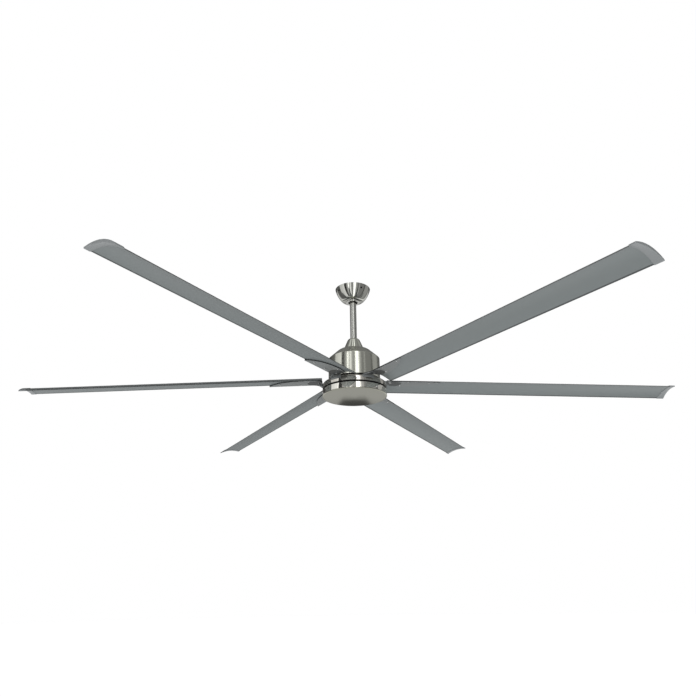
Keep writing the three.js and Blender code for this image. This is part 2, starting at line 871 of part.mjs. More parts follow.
function magnetRing() {
  const [low, high] = [statorBottom - magnetOverhang, statorTop + magnetOverhang];
  return ring(magnetBore, magnetRadius, low, high, roundSteps);
}

// Polished ring: a thick rim with a rounded shoulder, notched for the arms' feet, on a flat web
function bladeRing() {
  const grooveInner = rimInnerRadius + rimWall;
  const grooveOuter = ringRadius - rimWall;
  const shoulder = bend(
    [ringRadius, ringTop - ringShoulder],
    [ringRadius, ringTop],
    [ringRadius - ringShoulder, ringTop],
  );
  const body = turned([
    [skirtRadius - skirtWall, webLevel - webThickness],
    [rimInnerRadius, webLevel - webThickness],
    [rimInnerRadius, ringBottom],
    [grooveInner, ringBottom],
    [grooveInner, ringBottom + rimGrooveDepth],
    [grooveOuter, ringBottom + rimGrooveDepth],
    [grooveOuter, ringBottom],
    [ringRadius, ringBottom],
    ...shoulder,
    [rimInnerRadius, ringTop],
    [rimInnerRadius, webLevel],
    [skirtRadius - skirtWall, webLevel],
  ]);
  const notch = block(
    armFootInner - fitGap,
    ringRadius + overrun,
    armFootLead - fitGap,
    armFootTrail + fitGap,
    bladeDatum,
    ringTop + overrun,
  );
  return cut(body, ...copiesAround(notch, bladeCount));
}

// Pressed pan on the shaft's end, its rim turned down inside the bottom band
function capPlate() {
  const rimOuter = bandRadius - bandWall - fitGap;
  const rimInner = rimOuter - panSheet;
  const pan = turned([
    [shaftRadius + fitGap, panBottom],
    [rimInner, panBottom],
    [rimInner, panTop - panRim],
    [rimOuter, panTop - panRim],
    [rimOuter, panTop],
    [shaftRadius + fitGap, panTop],
  ]);
  const hole = radialBar(screwRadius + screwGap, rimInner - overrun, rimOuter + overrun, capScrewLevel());
  return cut(pan, ...copiesAround(hole, capScrewCount, capScrewAngle));
}

function capScrewLevel() {
  return (panBottom + panTop - panRim) / 2;
}

// Hexagonal nut that clamps the pan on the shaft
function shaftNut() {
  const low = panBottom - fitGap - nutHeight;
  const high = panBottom - fitGap;
  const hexagon = bar(nutRadius, low, high, 6);
  return cut(hexagon, bar(shaftRadius + fitGap, low - overrun, high + overrun, roundSteps));
}

function bottomBand() {
  const band = ring(bandRadius - bandWall, bandRadius, bandBottom, bandTop);
  const hole = radialBar(screwRadius + screwGap, bandRadius - overrun, bandRadius + overrun, capScrewLevel());
  return cut(band, ...copiesAround(hole, capScrewCount, capScrewAngle));
}

// Shallow dish that closes the band from below, its upstand inside the band
function bottomCap() {
  const top = bandBottom - fitGap;
  const low = top - dishDepth;
  const upstandOuter = bandRadius - bandWall - fitGap;
  const upstandInner = upstandOuter - bandWall;
  const edge = bend([bandRadius, top - dishLip], [bandRadius - dishLip, low], [bandRadius - dishEdge, low]);
  return turned([
    [0, top - dishDome],
    [upstandInner, top],
    [upstandInner, top + dishUpstand],
    [upstandOuter, top + dishUpstand],
    [upstandOuter, top],
    [bandRadius, top],
    ...edge,
    [bandRadius / 2, low - dishDome],
    [0, low - dishDome],
  ]);
}

// Axes of the first blade: across its chord, up from its underside and out along its length
function bladeFrame() {
  const pitch = THREE.MathUtils.degToRad(pitchAngle);
  const droop = new THREE.Matrix4().makeRotationY(THREE.MathUtils.degToRad(droopAngle));
  const across = new THREE.Vector3(0, Math.cos(pitch), -Math.sin(pitch));
  const up = new THREE.Vector3(0, Math.sin(pitch), Math.cos(pitch));
  const lead = new THREE.Vector3(0, leadOffset, leadRise);
  const placed = new THREE.Matrix4().makeBasis(across, up, new THREE.Vector3(1, 0, 0)).setPosition(lead);
  return new THREE.Matrix4().makeTranslation(0, 0, bladeDatum).multiply(droop).multiply(placed);
}

// Height of the arch over the chord line, for a given crown, at a share of the chord
function arch(crown, share) {
  return 4 * crown * share * (1 - share);
}

// The blade's crescent section as [across, up] points, grown on every side by an offset
function crescent(offset) {
  const steps = 2 * curveSteps;
  const width = chord + 2 * offset;
  const side = (crown, base) => Array.from({ length: steps + 1 }, (_, i) =>
    [-offset + (width * i) / steps, base + arch(crown, i / steps)]);
  const under = side(camberLow, -offset);
  const over = side(camberHigh, bladeEdge + offset).reverse();
  return [...under, ...over];
}

// One hollow cell of the extrusion, between two shares of the chord
function cellOutline(from, to) {
  const steps = innerSteps + 1;
  const side = (crown, base) => Array.from({ length: steps + 1 }, (_, i) => {
    const share = from + ((to - from) * i) / steps;
    return [chord * share, base + arch(crown, share)];
  });
  return [...side(camberLow, bladeSkin), ...side(camberHigh, bladeEdge - bladeSkin).reverse()];
}

// A section drawn across the blade, run out along it between two stations
function alongBlade(outline, from, to, holes = []) {
  const path = (points) => points.map(([across, up]) => new THREE.Vector2(across, up));
  const shape = new THREE.Shape(path(outline));
  shape.holes = holes.map((hole) => new THREE.Path(path(hole)));
  const run = new THREE.ExtrudeGeometry(shape, { depth: to - from, bevelEnabled: false });
  return run.translate(0, 0, from).applyMatrix4(blade);
}

// Extruded aluminium blade with hollow cells, square at its root and open at its tip for the cap
function bladeBody() {
  const cellsWidth = chord - 2 * cellEndInset;
  const pitch = (cellsWidth + bladeWeb) / cellCount;
  const cells = Array.from({ length: cellCount }, (_, i) => {
    const start = cellEndInset + pitch * i;
    return cellOutline(start / chord, (start + pitch - bladeWeb) / chord);
  });
  return alongBlade(crescent(0), bladeRoot, sweepRadius - capEnd - fitGap, cells);
}

// Moulded end cap: a sleeve over the blade's end, longer at the trailing edge, closed by an end wall
function bladeTipCap() {
  const start = sweepRadius - capLengthTrail;
  const sleeve = alongBlade(crescent(fitGap + capWall), start, sweepRadius);
  const pocket = alongBlade(crescent(fitGap), start - overrun, sweepRadius - capEnd);
  const widest = fitGap + capWall + overrun;
  const trailCorner = [start, leadOffset + chord];
  const leadCorner = [sweepRadius - capLengthLead, leadOffset];
  const mouth = bend(leadCorner, [leadCorner[0], (leadCorner[1] + trailCorner[1]) / 2], trailCorner);
  const outline = [
    [sweepRadius + overrun, leadOffset - widest],
    [sweepRadius + overrun, leadOffset + chord + widest],
    [start, leadOffset + chord + widest],
    ...mouth.reverse(),
    [sweepRadius - capLengthLead, leadOffset - widest],
  ];
  const depth = chord;
  return common(cut(sleeve, pocket), prism(outline, bladeDatum - depth, bladeDatum + depth));
}

// Scimitar-shaped arm under the blade, with a foot in the blade ring's notch and screw heads below
function bladeArm() {
  const top = (share) => arch(camberLow, share) - fitGap;
  const steps = curveSteps;
  const firstShare = (armFootLead - leadOffset) / chord;
  const lastShare = (armBellyWidth + fitGap) / chord;
  const stepShare = (lastShare - firstShare) / steps;
  const shares = Array.from({ length: steps + 1 }, (_, i) => firstShare + stepShare * i);
  const upper = shares.map((share) => [chord * share, top(share)]);
  const lower = shares.map((share) => [chord * share, top(share) - armThickness]).reverse();
  const slab = alongBlade([...lower.reverse(), ...upper.reverse()], armFootInner, armReach);
  const depth = chord;
  const plate = common(slab, prism(armOutline(), bladeDatum - depth, bladeDatum + depth));
  const foot = common(
    block(armFootInner, ringRadius + armFootProud, armFootLead, armFootTrail, bladeDatum + fitGap, ringTop),
    bar(ringRadius + armFootProud, bladeDatum - overrun, ringTop + overrun, fineSteps),
  );
  return joined(plate, foot, ...armScrewHeads(top));
}

// Plan of the arm as [along the blade, across] points, from its foot out to its point and back
function armOutline() {
  const tip = [armReach, leadOffset];
  const belly = [armBellyStation, leadOffset + armBellyWidth];
  const heel = [armHeelStation, leadOffset + armHeelWidth];
  const shoulder = bend(
    [armNeckStart, leadOffset],
    [armNeckEnd, leadOffset],
    [armNeckEnd - overrun, armFootLead],
  );
  const fullest = [(tip[0] + belly[0]) / 2 + armBellyWidth, belly[1] - armBellyWidth / 8];
  const sweep = bend(tip, fullest, belly, curveSteps);
  const neck = bend(heel, [armNeckEnd, heel[1]], [armNeckEnd - overrun, armFootTrail]);
  return [
    [armFootInner, armFootLead],
    ...shoulder.reverse(),
    ...sweep,
    ...neck,
    [armFootInner, armFootTrail],
  ];
}

// Low screw heads on the arm's underside, their shanks sunk into it
function armScrewHeads(top) {
  const reach = armReach - armHeelStation;
  return armScrewStationShares.map((stationShare, i) => {
    const across = chord * armScrewWidthShares[i];
    const under = top(armScrewWidthShares[i]) - armThickness;
    const head = bar(armScrewHeadRadius, -armScrewHeadHeight, armThickness / 2, headSides);
    head.rotateX(-Math.PI / 2).translate(across, under, armHeelStation + reach * stationShare);
    return head.applyMatrix4(blade);
  });
}

// Finishes
function finish(color, metalness, roughness) {
  return new THREE.MeshStandardMaterial({ color, metalness, roughness });
}

const brushedNickel = finish(0xb4b2ab, 1, 0.32);
const polishedChrome = finish(0xd8d9d8, 1, 0.08);
const brushedDish = finish(0xa09d94, 1, 0.38);
const bladeGrey = finish(0x7f8687, 0.55, 0.45);
const capGrey = finish(0x93979a, 0, 0.45);
const armGrey = finish(0x5f6465, 0.7, 0.4);
const galvanised = finish(0x9fa3a5, 1, 0.5);
const zincPlate = finish(0xb9bcbd, 1, 0.3);
const nylon = finish(0xe6e2d6, 0, 0.5);
const blackPlastic = finish(0x1d1e20, 0, 0.55);
const castAluminium = finish(0xa6a8aa, 1, 0.55);
const bearingSteel = finish(0xc4c7ca, 1, 0.2);
const siliconSteel = finish(0x55585c, 0.9, 0.5);
const copper = finish(0xb4623a, 0.9, 0.4);
const magnetBlack = finish(0x2b2c2e, 0.4, 0.6);
const boardGreen = finish(0x1f5b3a, 0, 0.5);

const fan = new THREE.Group();

function place(name, geometry, material, parent = fan) {
  const mesh = new THREE.Mesh(geometry, material);
  mesh.name = name;
  parent.add(mesh);
}

function placeAround(name, geometry, material, count, first = 0) {
  for (let i = 0; i < count; i += 1) {
    const turn = new THREE.Group();
    turn.rotation.z = THREE.MathUtils.degToRad(first + (360 * i) / count);
    fan.add(turn);
    place(`${name}_${i + 1}`, geometry, material, turn);
  }
}

// Pieces fixed to the ceiling
place("hanger_bracket", hangerBracket(), galvanised);
place("canopy", canopy(), brushedNickel);
place("canopy_trim_ring", canopyTrimRing(), brushedNickel);
placeAround(
  "canopy_screw",
  onCanopyWall(sideScrew(0, canopyScrewLength, 0)),
  zincPlate,
  canopyScrewCount,
  canopyScrewAngle,
);
place("driver_module", driverModule(), blackPlastic);
place("terminal_block", terminalBlock(), nylon);
place("ball_liner", ballLiner(), nylon);

// Pieces that hang from the ball
place("hanger_ball", hangerBall(), blackPlastic);
const ballPinHalf = ballRadius - ballPinInset;
place("ball_pin", radialBar(ballPinRadius, -ballPinHalf, ballPinHalf, ballLevel), zincPlate);
place("downrod", downrod(), brushedNickel);
place("supply_cable", supplyCable(), blackPlastic);
place("motor_coupling", motorCoupling(), castAluminium);
place("rod_pin", rodPin(), zincPlate);
place("rod_pin_clip", rodPinClip(), zincPlate);
placeAround("set_screw", setScrew(), bearingSteel, 2, 90);
place("coupling_cover", couplingCover(), brushedNickel);
place("motor_housing", motorHousing(), brushedNickel);
place("motor_shaft", motorShaft(), bearingSteel);
place("bearing_upper", bearing(upperBearingBottom), bearingSteel);
place("bearing_lower", bearing(lowerBearingBottom), bearingSteel);
place("stator_hub", statorHub(), castAluminium);
place("stator_core", statorCore(), siliconSteel);
place("stator_windings", statorWindings(), copper);
place("control_board", controlBoard(), boardGreen);
place("spacer_sleeve", spacerSleeve(), bearingSteel);
place("cap_plate", capPlate(), galvanised);
place("shaft_nut", shaftNut(), zincPlate);
place("bottom_band", bottomBand(), polishedChrome);
place("bottom_cap", bottomCap(), brushedDish);
placeAround(
  "cap_screw",
  sideScrew(bandRadius, capScrewLength, capScrewLevel()),
  zincPlate,
  capScrewCount,
  capScrewAngle,
);

// Pieces that spin
place("rotor_upper_shell", rotorUpperShell(), castAluminium);
place("rotor_lower_shell", rotorLowerShell(), castAluminium);
place("magnet_ring", magnetRing(), magnetBlack);
place("blade_ring", bladeRing(), polishedChrome);
placeAround("blade_arm", bladeArm(), armGrey, bladeCount);
placeAround("blade", bladeBody(), bladeGrey, bladeCount);
placeAround("blade_tip_cap", bladeTipCap(), capGrey, bladeCount);

export default fan;
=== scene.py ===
import bmesh
import bpy
import numpy as np
from mathutils import Matrix, Vector


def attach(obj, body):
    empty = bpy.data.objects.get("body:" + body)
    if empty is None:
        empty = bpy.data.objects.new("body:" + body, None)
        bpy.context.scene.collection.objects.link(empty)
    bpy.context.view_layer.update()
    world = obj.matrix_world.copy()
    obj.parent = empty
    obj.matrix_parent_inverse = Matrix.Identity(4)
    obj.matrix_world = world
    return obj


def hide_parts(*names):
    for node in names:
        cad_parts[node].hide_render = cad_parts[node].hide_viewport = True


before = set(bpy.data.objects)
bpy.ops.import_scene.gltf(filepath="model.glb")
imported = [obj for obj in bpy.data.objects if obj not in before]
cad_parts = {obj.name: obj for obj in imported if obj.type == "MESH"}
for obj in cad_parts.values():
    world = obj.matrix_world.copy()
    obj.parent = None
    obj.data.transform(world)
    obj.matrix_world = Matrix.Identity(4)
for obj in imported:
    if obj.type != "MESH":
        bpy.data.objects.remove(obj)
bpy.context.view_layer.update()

# Looks of a ceiling fan with six long arched blades, in millimetres that become metres in the meshes
MM = 0.001

# Levels below the ceiling and radii, as in the frame
SWEEP = 1270.0
CANOPY_RIM, CANOPY_RADIUS, CANOPY_WALL, CANOPY_HOLE = -1.0, 72.5, 1.2, 25.0
CANOPY_WAIST, CANOPY_HEEL = (64.7, -30.9), (47.2, -49.6)
CANOPY_SOLE, CANOPY_FLOOR, CANOPY_EDGE, CANOPY_INNER_EDGE = (41.0, -56.2), (27.0, -58.6), 0.4, 0.3
TRIM_TOP, TRIM_RADIUS, TRIM_BORE, TRIM_THICK = -58.9, 28.5, 19.7, 2.2
TRIM_NECK_RISE, TRIM_NECK_WALL, TRIM_LIP_EDGE, TRIM_BORE_EDGE, TRIM_EDGE = 3.0, 2.4, 1.1, 0.5, 0.4
ROD_RADIUS, ROD_BORE, ROD_TOP, ROD_BOTTOM, ROD_EDGE, ROD_BORE_EDGE = 13.35, 10.45, -18.0, -272.0, 0.8, 0.6
COVER_BASE, COVER_TOP, COVER_WALL, COVER_BORE = -275.2, -225.4, 1.5, 13.85
COVER_FOOT, COVER_WAIST, COVER_NECK, COVER_CROWN = (42.0, 2.0), (36.2, 16.8), (26.3, 40.0), 22.8
COVER_EDGE, COVER_INNER_EDGE, COVER_BORE_EDGE = 0.6, 0.3, 0.5
HOUSING_TOP, HOUSING_BOTTOM, HOUSING_RADIUS, HOUSING_WALL, HOUSING_HOLE = -275.5, -405.5, 102.5, 2.0, 19.3
CREASE_LEVEL, CREASE_EDGE, SHOULDER_RADIUS, SHOULDER_ROUNDING = -314.9, 1.0, 60.0, 9.0
HOUSING_EDGE, HOUSING_INNER_EDGE, HOUSING_HOLE_EDGE = 0.8, 0.5, 0.4
RING_TOP, RING_BOTTOM, RING_RADIUS, RING_SHOULDER, RING_EDGE = -416.0, -441.0, 126.0, 10.0, 0.8
RIM_INNER, WEB_LEVEL, WEB_THICK, SKIRT_INNER = 100.0, -421.0, 6.0, 60.0
GROOVE_INNER, GROOVE_OUTER, GROOVE_DEPTH, GROOVE_EDGE = 104.5, 121.5, 9.0, 0.5
BAND_TOP, BAND_BOTTOM, BAND_RADIUS, BAND_WALL = -445.0, -468.0, 127.0, 1.8
BAND_EDGE, BAND_INNER_EDGE, DISH_LIP_EDGE = 0.7, 0.3, 0.3
DISH_LIP, DISH_DEPTH, DISH_EDGE, DISH_DOME, DISH_UPSTAND = 0.8, 3.4, 9.0, 0.8, 4.0
# Clearance between pieces, number of blades, and the level that they are placed from
GAP, BLADE_COUNT, BLADE_DATUM = 0.3, 6, -428.0

# Blade section, end cap and arm
CHORD, PITCH, DROOP, LEAD, LEAD_RISE = 104.4, 10.47, 1.66, -17.0, 22.0
CAMBER_LOW, CAMBER_HIGH, BLADE_EDGE = 9.5, 13.9, 1.6
BLADE_ROOT = 127.2
SKIN, WEB, CELL_INSET, CELLS = 1.2, 3.6, 12.5, 3
CAP_WALL, CAP_END, CAP_LEAD, CAP_TRAIL = 1.2, 2.5, 19.0, 27.0
ARM_REACH, ARM_THICK, ARM_EDGE = 337.0, 5.0, 0.8
# The gasket is a black strip between arm and blade; its black also stands in for the shade in that gap
GASKET_THICK, GASKET_LIFT, GASKET_INSET, GASKET_EDGE = 2.9, 0.1, 0.4, 0.2
FOOT_LEAD, FOOT_TRAIL, FOOT_INNER, FOOT_OUTER = -37.0, 10.0, 104.0, 128.0

# Screws: radius and height of the head and radius of the shank, and how deep the shanks under an arm go
SIDE_SCREW, NECK_SCREW, BLADE_SCREW, SCREW_DEPTH = (4.0, 2.2, 2.0), (4.2, 2.1, 2.4), (4.0, 2.1, 2.2), 2.0

# The most of a side that a rounding takes, and how finely round forms are divided
ROUNDING_SHARE = 0.45
TURN_STEPS, CORNER_STEPS, SECTION_STEPS = 144, 4, 28
NOTCH_STEPS, RIM_STEPS, BLADE_STATIONS, ARM_STEPS, FOOT_STEPS, SCREW_STEPS = 10, 18, 14, 9, 12, 48


# Camera: place in millimetres, direction, roll in degrees, and lens and sensor in millimetres
CAMERA_PLACE, CAMERA_AIM, CAMERA_ROLL = (-74.8, -2338.4, -1185.3), (0.0204, 0.9300, 0.3669), -0.859
LENS, SENSOR, NEAREST, FARTHEST = 32.08, 36.0, 0.05, 300.0


def placed(name, data):
    """A new object in the scene."""
    made = bpy.data.objects.new(name, data)
    bpy.context.scene.collection.objects.link(made)
    return made


def place_camera():
    """Looks up at the fan from below and in front of it, as the photograph does."""
    position = Vector(CAMERA_PLACE) * MM
    forward = Vector(CAMERA_AIM).normalized()
    roll = np.radians(CAMERA_ROLL)
    level = Vector((forward.y, -forward.x, 0.0)).normalized()
    rise = level.cross(forward)
    right = level * np.cos(roll) + rise * np.sin(roll)
    up = rise * np.cos(roll) - level * np.sin(roll)
    data = bpy.data.cameras.new("camera")
    data.lens, data.sensor_width = LENS, SENSOR
    data.clip_start, data.clip_end = NEAREST, FARTHEST
    camera = placed("camera", data)
    camera.matrix_world = Matrix.Translation(position) @ Matrix((right, up, -forward)).transposed().to_4x4()
    bpy.context.scene.camera = camera


place_camera()


# Shader maths
class Link:
    """One output socket. Sums, products and the like with it add Math nodes."""

    def __init__(self, paint, socket):
        self.paint, self.socket = paint, socket

    def math(self, operation, *others):
        """A Math node that takes this socket first."""
        return self.paint.math(operation, self, *others)

    def __add__(self, other):
        return self.math("ADD", other)

    def __radd__(self, other):
        return self.paint.math("ADD", other, self)

    def __sub__(self, other):
        return self.math("SUBTRACT", other)

    def __rsub__(self, other):
        return self.paint.math("SUBTRACT", other, self)

    def __mul__(self, other):
        return self.math("MULTIPLY", other)

    def __rmul__(self, other):
        return self.paint.math("MULTIPLY", other, self)

    def __pow__(self, other):
        return self.math("POWER", other)

    def clipped(self, low=0.0, high=1.0):
        """Kept between two values."""
        return self.math("MAXIMUM", low).math("MINIMUM", high)

    def step(self, low, high):
        """Rises smoothly from 0 to 1 between two values."""
        settings = {"interpolation_type": "SMOOTHSTEP"}
        return self.paint.node("ShaderNodeMapRange", settings, {0: self, 1: low, 2: high, 3: 0.0, 4: 1.0})


class Paint:
    """The node tree of one finish, or of the world."""

    def __init__(self, owner):
        owner.use_nodes = True
        self.tree = owner.node_tree
        self.tree.nodes.clear()

    def node(self, kind, settings=None, inputs=None, output=0):
        """Adds a node: its settings first, then values or links of its sockets. Gives one output."""
        made = self.tree.nodes.new(kind)
        for name, value in (settings or {}).items():
            setattr(made, name, value)
        for name, value in (inputs or {}).items():
            if isinstance(value, Link):
                self.tree.links.new(value.socket, made.inputs[name])
            else:
                made.inputs[name].default_value = value
        return None if output is None else Link(self, made.outputs[output])

    def math(self, operation, *values):
        """A Math node over values or links."""
        return self.node("ShaderNodeMath", {"operation": operation}, dict(enumerate(values)))

    def point(self):
        """Object coordinates."""
        return self.node("ShaderNodeTexCoord", output="Object")

    def parts(self, point, count=3):
        """The first few of a vector's X, Y and Z."""
        return [self.node("ShaderNodeSeparateXYZ", inputs={0: point}, output=i) for i in range(count)]

    def along(self):
        """Metric map of a blade, cap or arm: distance along the blade, and across it."""
        return self.parts(self.node("ShaderNodeUVMap", {"uv_map": "run"}), 2)

    def vector(self, x, y, z):
        """A vector from its three parts."""
        return self.node("ShaderNodeCombineXYZ", inputs={0: x, 1: y, 2: z})

    def noise(self, vector, scale, detail=3.0, roughness=0.55, w=None):
        """Fractal noise from 0 to 1, with a fourth coordinate if one is given."""
        settings = {"noise_dimensions": "3D" if w is None else "4D"}
        inputs = {"Vector": vector, "Scale": scale, "Detail": detail, "Roughness": roughness}
        if w is not None:
            inputs["W"] = w
        return self.node("ShaderNodeTexNoise", settings, inputs, "Fac")

    def blend(self, factor, first, second):
        """A colour between two colours."""
        return self.node("ShaderNodeMix", {"data_type": "RGBA"}, {0: factor, 6: first, 7: second}, 2)

    def edge_wear(self):
        """The mesh's own edge mask, broken up by noise: rubbed edges, and on the blades painted edge shade.
        """
        mask = self.node("ShaderNodeAttribute", {"attribute_name": "edge"}, output="Fac")
        return (mask * self.noise(self.point(), 140.0, 4.0).step(0.35, 0.7)).clipped()

    def bump(self, height, depth):
        """The normal of a height from 0 to 1 that is so many metres deep."""
        return self.node("ShaderNodeBump", {}, {"Height": height, "Distance": depth})


def finish(name, colour, metallic, rough, build, brushed=0.0, turn=0.0):
    """A finish whose build step works out colour, roughness, normal and, where part of it is painted black as
    shade, the unshaded share. Brushed is how far its highlights are drawn out, and turn in what direction."""
    material = bpy.data.materials.new(name)
    paint = Paint(material)
    tone, roughness, normal, *unshaded = build(paint, (*colour, 1.0), rough)
    metal = unshaded[0] * metallic if unshaded else metallic
    surface = paint.node("ShaderNodeBsdfPrincipled", {}, {
        "Base Color": tone, "Roughness": roughness, "Metallic": metal, "Normal": normal,
        "Anisotropic": brushed, "Anisotropic Rotation": turn})
    paint.node("ShaderNodeOutputMaterial", {}, {0: surface}, None)
    return material


def shade(colour, factor):
    """The colour, lighter or darker."""
    return (*[min(1.0, c * factor) for c in colour[:3]], 1.0)


def past(coordinate, level, soft):
    """0 below a level in millimetres and 1 above it, with a soft step that far to both sides."""
    return coordinate.step((level - soft) * MM, (level + soft) * MM)


# Black of the painted shade in the gaps; how dark the painted shade is below a level, along the blade edges
# and on the neck; how light specks are, and how far the neck's coat sinks
SHADE_BLACK = (0.01, 0.01, 0.011, 1.0)
BELOW_SHADE, BRINK_SHADE, NECK_SHADE, SPECK_LIGHT, NECK_SINK = 0.85, 0.4, 0.36, 1.7, 60.0
# One turn in radians per half millimetre of stacked sheets, and wires per radian and per metre of lean
SHEET_TURN, WIRE_COUNT, WIRE_LEAN = 12566.0, 90.0, 900.0


def painted_gap_shade(paint, look, radius, z, shade_lining, dull):
    """Turns a look black and duller as painted shade inside, within a radius and below a level, and as a
    painted shadow line on the lip beyond another level, on the side of it that the sign tells."""
    if shade_lining is None:
        return look
    tone, roughness, normal = look
    bore, level, lip, sign = shade_lining
    # Painted shade: black inside the gaps, and a painted black shadow line along the lip
    unshaded = past(radius, bore, 0.3).math("MAXIMUM", past(z, level, 0.5)) * past(z * sign, lip * sign, 0.3)
    return paint.blend(unshaded, SHADE_BLACK, tone), roughness + (1.0 - unshaded) * dull, normal, unshaded


def turned_metal(lines, depth, spread=0.12, marks=0.05, shade_lining=None, shade_below=None):
    """Lathe-turned or belt-brushed round metal: hair lines round the axis, faint clouds and rubbed edges.
    Below a level in millimetres, if one is given, it is darker as painted shade."""

    def build(paint, colour, rough):
        point = paint.point()
        x, y, z = paint.parts(point)
        radius = (x * x + y * y) ** 0.5
        hair = paint.noise(paint.vector(radius * lines, z * lines, x * 9.0), 1.0, 3.0, 0.6, y * 9.0)
        band = paint.noise(paint.vector(radius * 260.0, z * 260.0, x * 3.0), 1.0, 2.0, 0.5, y * 3.0)
        cloud = paint.noise(point, 14.0, 2.0)
        wear = paint.edge_wear()
        tone = paint.blend(hair * 0.6 + band * 0.4, shade(colour, 1.0 - marks), shade(colour, 1.0 + marks))
        # Painted shade: darker below a level, on the bowl towards the collar
        if shade_below is not None:
            tone = paint.blend(past(z, shade_below, 3.0), shade(colour, BELOW_SHADE), tone)
        tone = paint.blend(wear * 0.5, tone, shade(colour, 1.25))
        roughness = rough + (hair - 0.5) * spread + (cloud - 0.5) * spread * 0.6 + wear * 0.06
        look = tone, roughness.clipped(0.03, 1.0), paint.bump(hair, depth)
        return painted_gap_shade(paint, look, radius, z, shade_lining, 0.3)

    return build


def drawn_metal(lines, depth, spread=0.12, marks=0.05):
    """Metal drawn or brushed along the vertical axis, as a pipe is."""

    def build(paint, colour, rough):
        point = paint.point()
        x, y, z = paint.parts(point)
        hair = paint.noise(paint.vector(x * lines, y * lines, z * 12.0), 1.0, 3.0, 0.6)
        cloud = paint.noise(point, 20.0, 2.0)
        wear = paint.edge_wear()
        tone = paint.blend(hair, shade(colour, 1.0 - marks), shade(colour, 1.0 + marks))
        roughness = (rough + (hair - 0.5) * spread + (cloud - 0.5) * 0.08 + wear * 0.1).clipped(0.03, 1.0)
        return tone, roughness, paint.bump(hair, depth)

    return build


def polished_metal(haze, shade_lining):
    """Buffed plating: a faint haze, fine swirls and lightly rubbed edges, with a black inside and lip edge
    painted as shade.
    """

    def build(paint, colour, rough):
        point = paint.point()
        x, y, z = paint.parts(point)
        swirl = paint.noise(point, 900.0, 2.0)
        cloud = paint.noise(point, 22.0, 3.0)
        wear = paint.edge_wear()
        tone = paint.blend(cloud, shade(colour, 0.96), shade(colour, 1.03))
        tone = paint.blend(wear * 0.4, tone, shade(colour, 0.8))
        roughness = (rough + cloud * haze + (swirl - 0.5) * haze * 0.6 + wear * 0.12).clipped(0.02, 1.0)
        look = tone, roughness, paint.bump(cloud, 2e-5)
        return painted_gap_shade(paint, look, (x * x + y * y) ** 0.5, z, shade_lining, 0.4)

    return build


def run_metal(lines, depth, spread=0.08, marks=0.04, speck=0.0, neck=None, rub_and_shade=1.5, shade_brink=None):
    """Coated extrusion: draw lines along the blade, slow clouds, fine orange peel, light specks, and edges
    rubbed lighter where the rub factor is above 1, and darker as painted shade where it is below 1. A neck is
    the part inboard of an arc [along, across, radius], a little lower and darker as painted shade. A shade
    brink is the width, in millimetres, of the painted shade band along both long edges."""

    def build(paint, colour, rough):
        point = paint.point()
        run, across = paint.along()
        line = paint.noise(paint.vector(run * 3.0, across * lines, 0.0), 1.0, 3.0, 0.6)
        cloud = paint.noise(paint.vector(run * 2.2, across * 9.0, 0.0), 1.0, 3.0)
        peel = paint.noise(point, 1400.0, 2.0)
        wear = paint.edge_wear()
        tone = paint.blend(line * 0.5 + cloud * 0.5, shade(colour, 1.0 - marks), shade(colour, 1.0 + marks))
        if speck:
            dots = paint.noise(point, 420.0, 3.0).step(0.52, 0.72)
            tone = paint.blend(dots * speck, tone, shade(colour, SPECK_LIGHT))
        height = line * 0.5 + peel * 0.5
        # Painted shade: a darker band along both long edges
        if shade_brink:
            inward = across.math("MINIMUM", CHORD * MM - across)
            tone = paint.blend(past(inward, shade_brink + 1.0, 1.0), shade(colour, BRINK_SHADE), tone)
        if neck:
            out, side = (run - neck[0] * MM), (across - neck[1] * MM)
            far = (out.math("MAXIMUM", 0.0) ** 2.0 + side * side) ** 0.5
            inboard = 1.0 - past(far, neck[2], 0.7)
            # Painted shade: the neck inboard of the arc is darker
            tone = paint.blend(inboard, tone, shade(colour, NECK_SHADE))
            height = height - inboard * NECK_SINK
        # Painted shade on the edges where rub_and_shade is below 1, as on the blades; rubbed wear where it is
        # above 1
        tone = paint.blend(wear * 0.9, tone, shade(colour, rub_and_shade))
        roughness = (rough + (line - 0.5) * spread + (cloud - 0.5) * spread + wear * 0.1).clipped(0.05, 1.0)
        return tone, roughness, paint.bump(height, depth)

    return build


def grained(scale, depth, spread=0.1, marks=0.08):
    """Cast, moulded or sintered stuff: an even grain, with slower clouds under it."""

    def build(paint, colour, rough):
        point = paint.point()
        grain = paint.noise(point, scale, 4.0, 0.6)
        cloud = paint.noise(point, scale * 0.06, 2.0)
        wear = paint.edge_wear()
        tone = paint.blend(grain * 0.5 + cloud * 0.5, shade(colour, 1.0 - marks), shade(colour, 1.0 + marks))
        tone = paint.blend(wear * 0.5, tone, shade(colour, 1.35))
        roughness = (rough + (grain - 0.5) * spread + (cloud - 0.5) * spread).clipped(0.05, 1.0)
        return tone, roughness, paint.bump(grain, depth)

    return build


def spangled(paint, colour, rough):
    """Galvanised sheet: crystals of zinc, each a little lighter or darker, with a few dull spots."""
    point = paint.point()
    warp = paint.node("ShaderNodeTexNoise", {}, {"Vector": point, "Scale": 60.0}, "Color")
    pull = {0: warp, 1: (0.006,) * 3, 2: point}
    spread = paint.node("ShaderNodeVectorMath", {"operation": "MULTIPLY_ADD"}, pull)
    crystal = paint.node("ShaderNodeTexVoronoi", {}, {"Vector": spread, "Scale": 150.0}, "Color")
    key = paint.node("ShaderNodeSeparateColor", {}, {0: crystal})
    fine = paint.noise(point, 600.0, 3.0)
    tone = paint.blend(key * 0.8 + fine * 0.2, shade(colour, 0.82), shade(colour, 1.12))
    roughness = (rough + (key - 0.5) * 0.22 + (fine - 0.5) * 0.1).clipped(0.1, 1.0)
    return tone, roughness, paint.bump(fine, 3e-5)


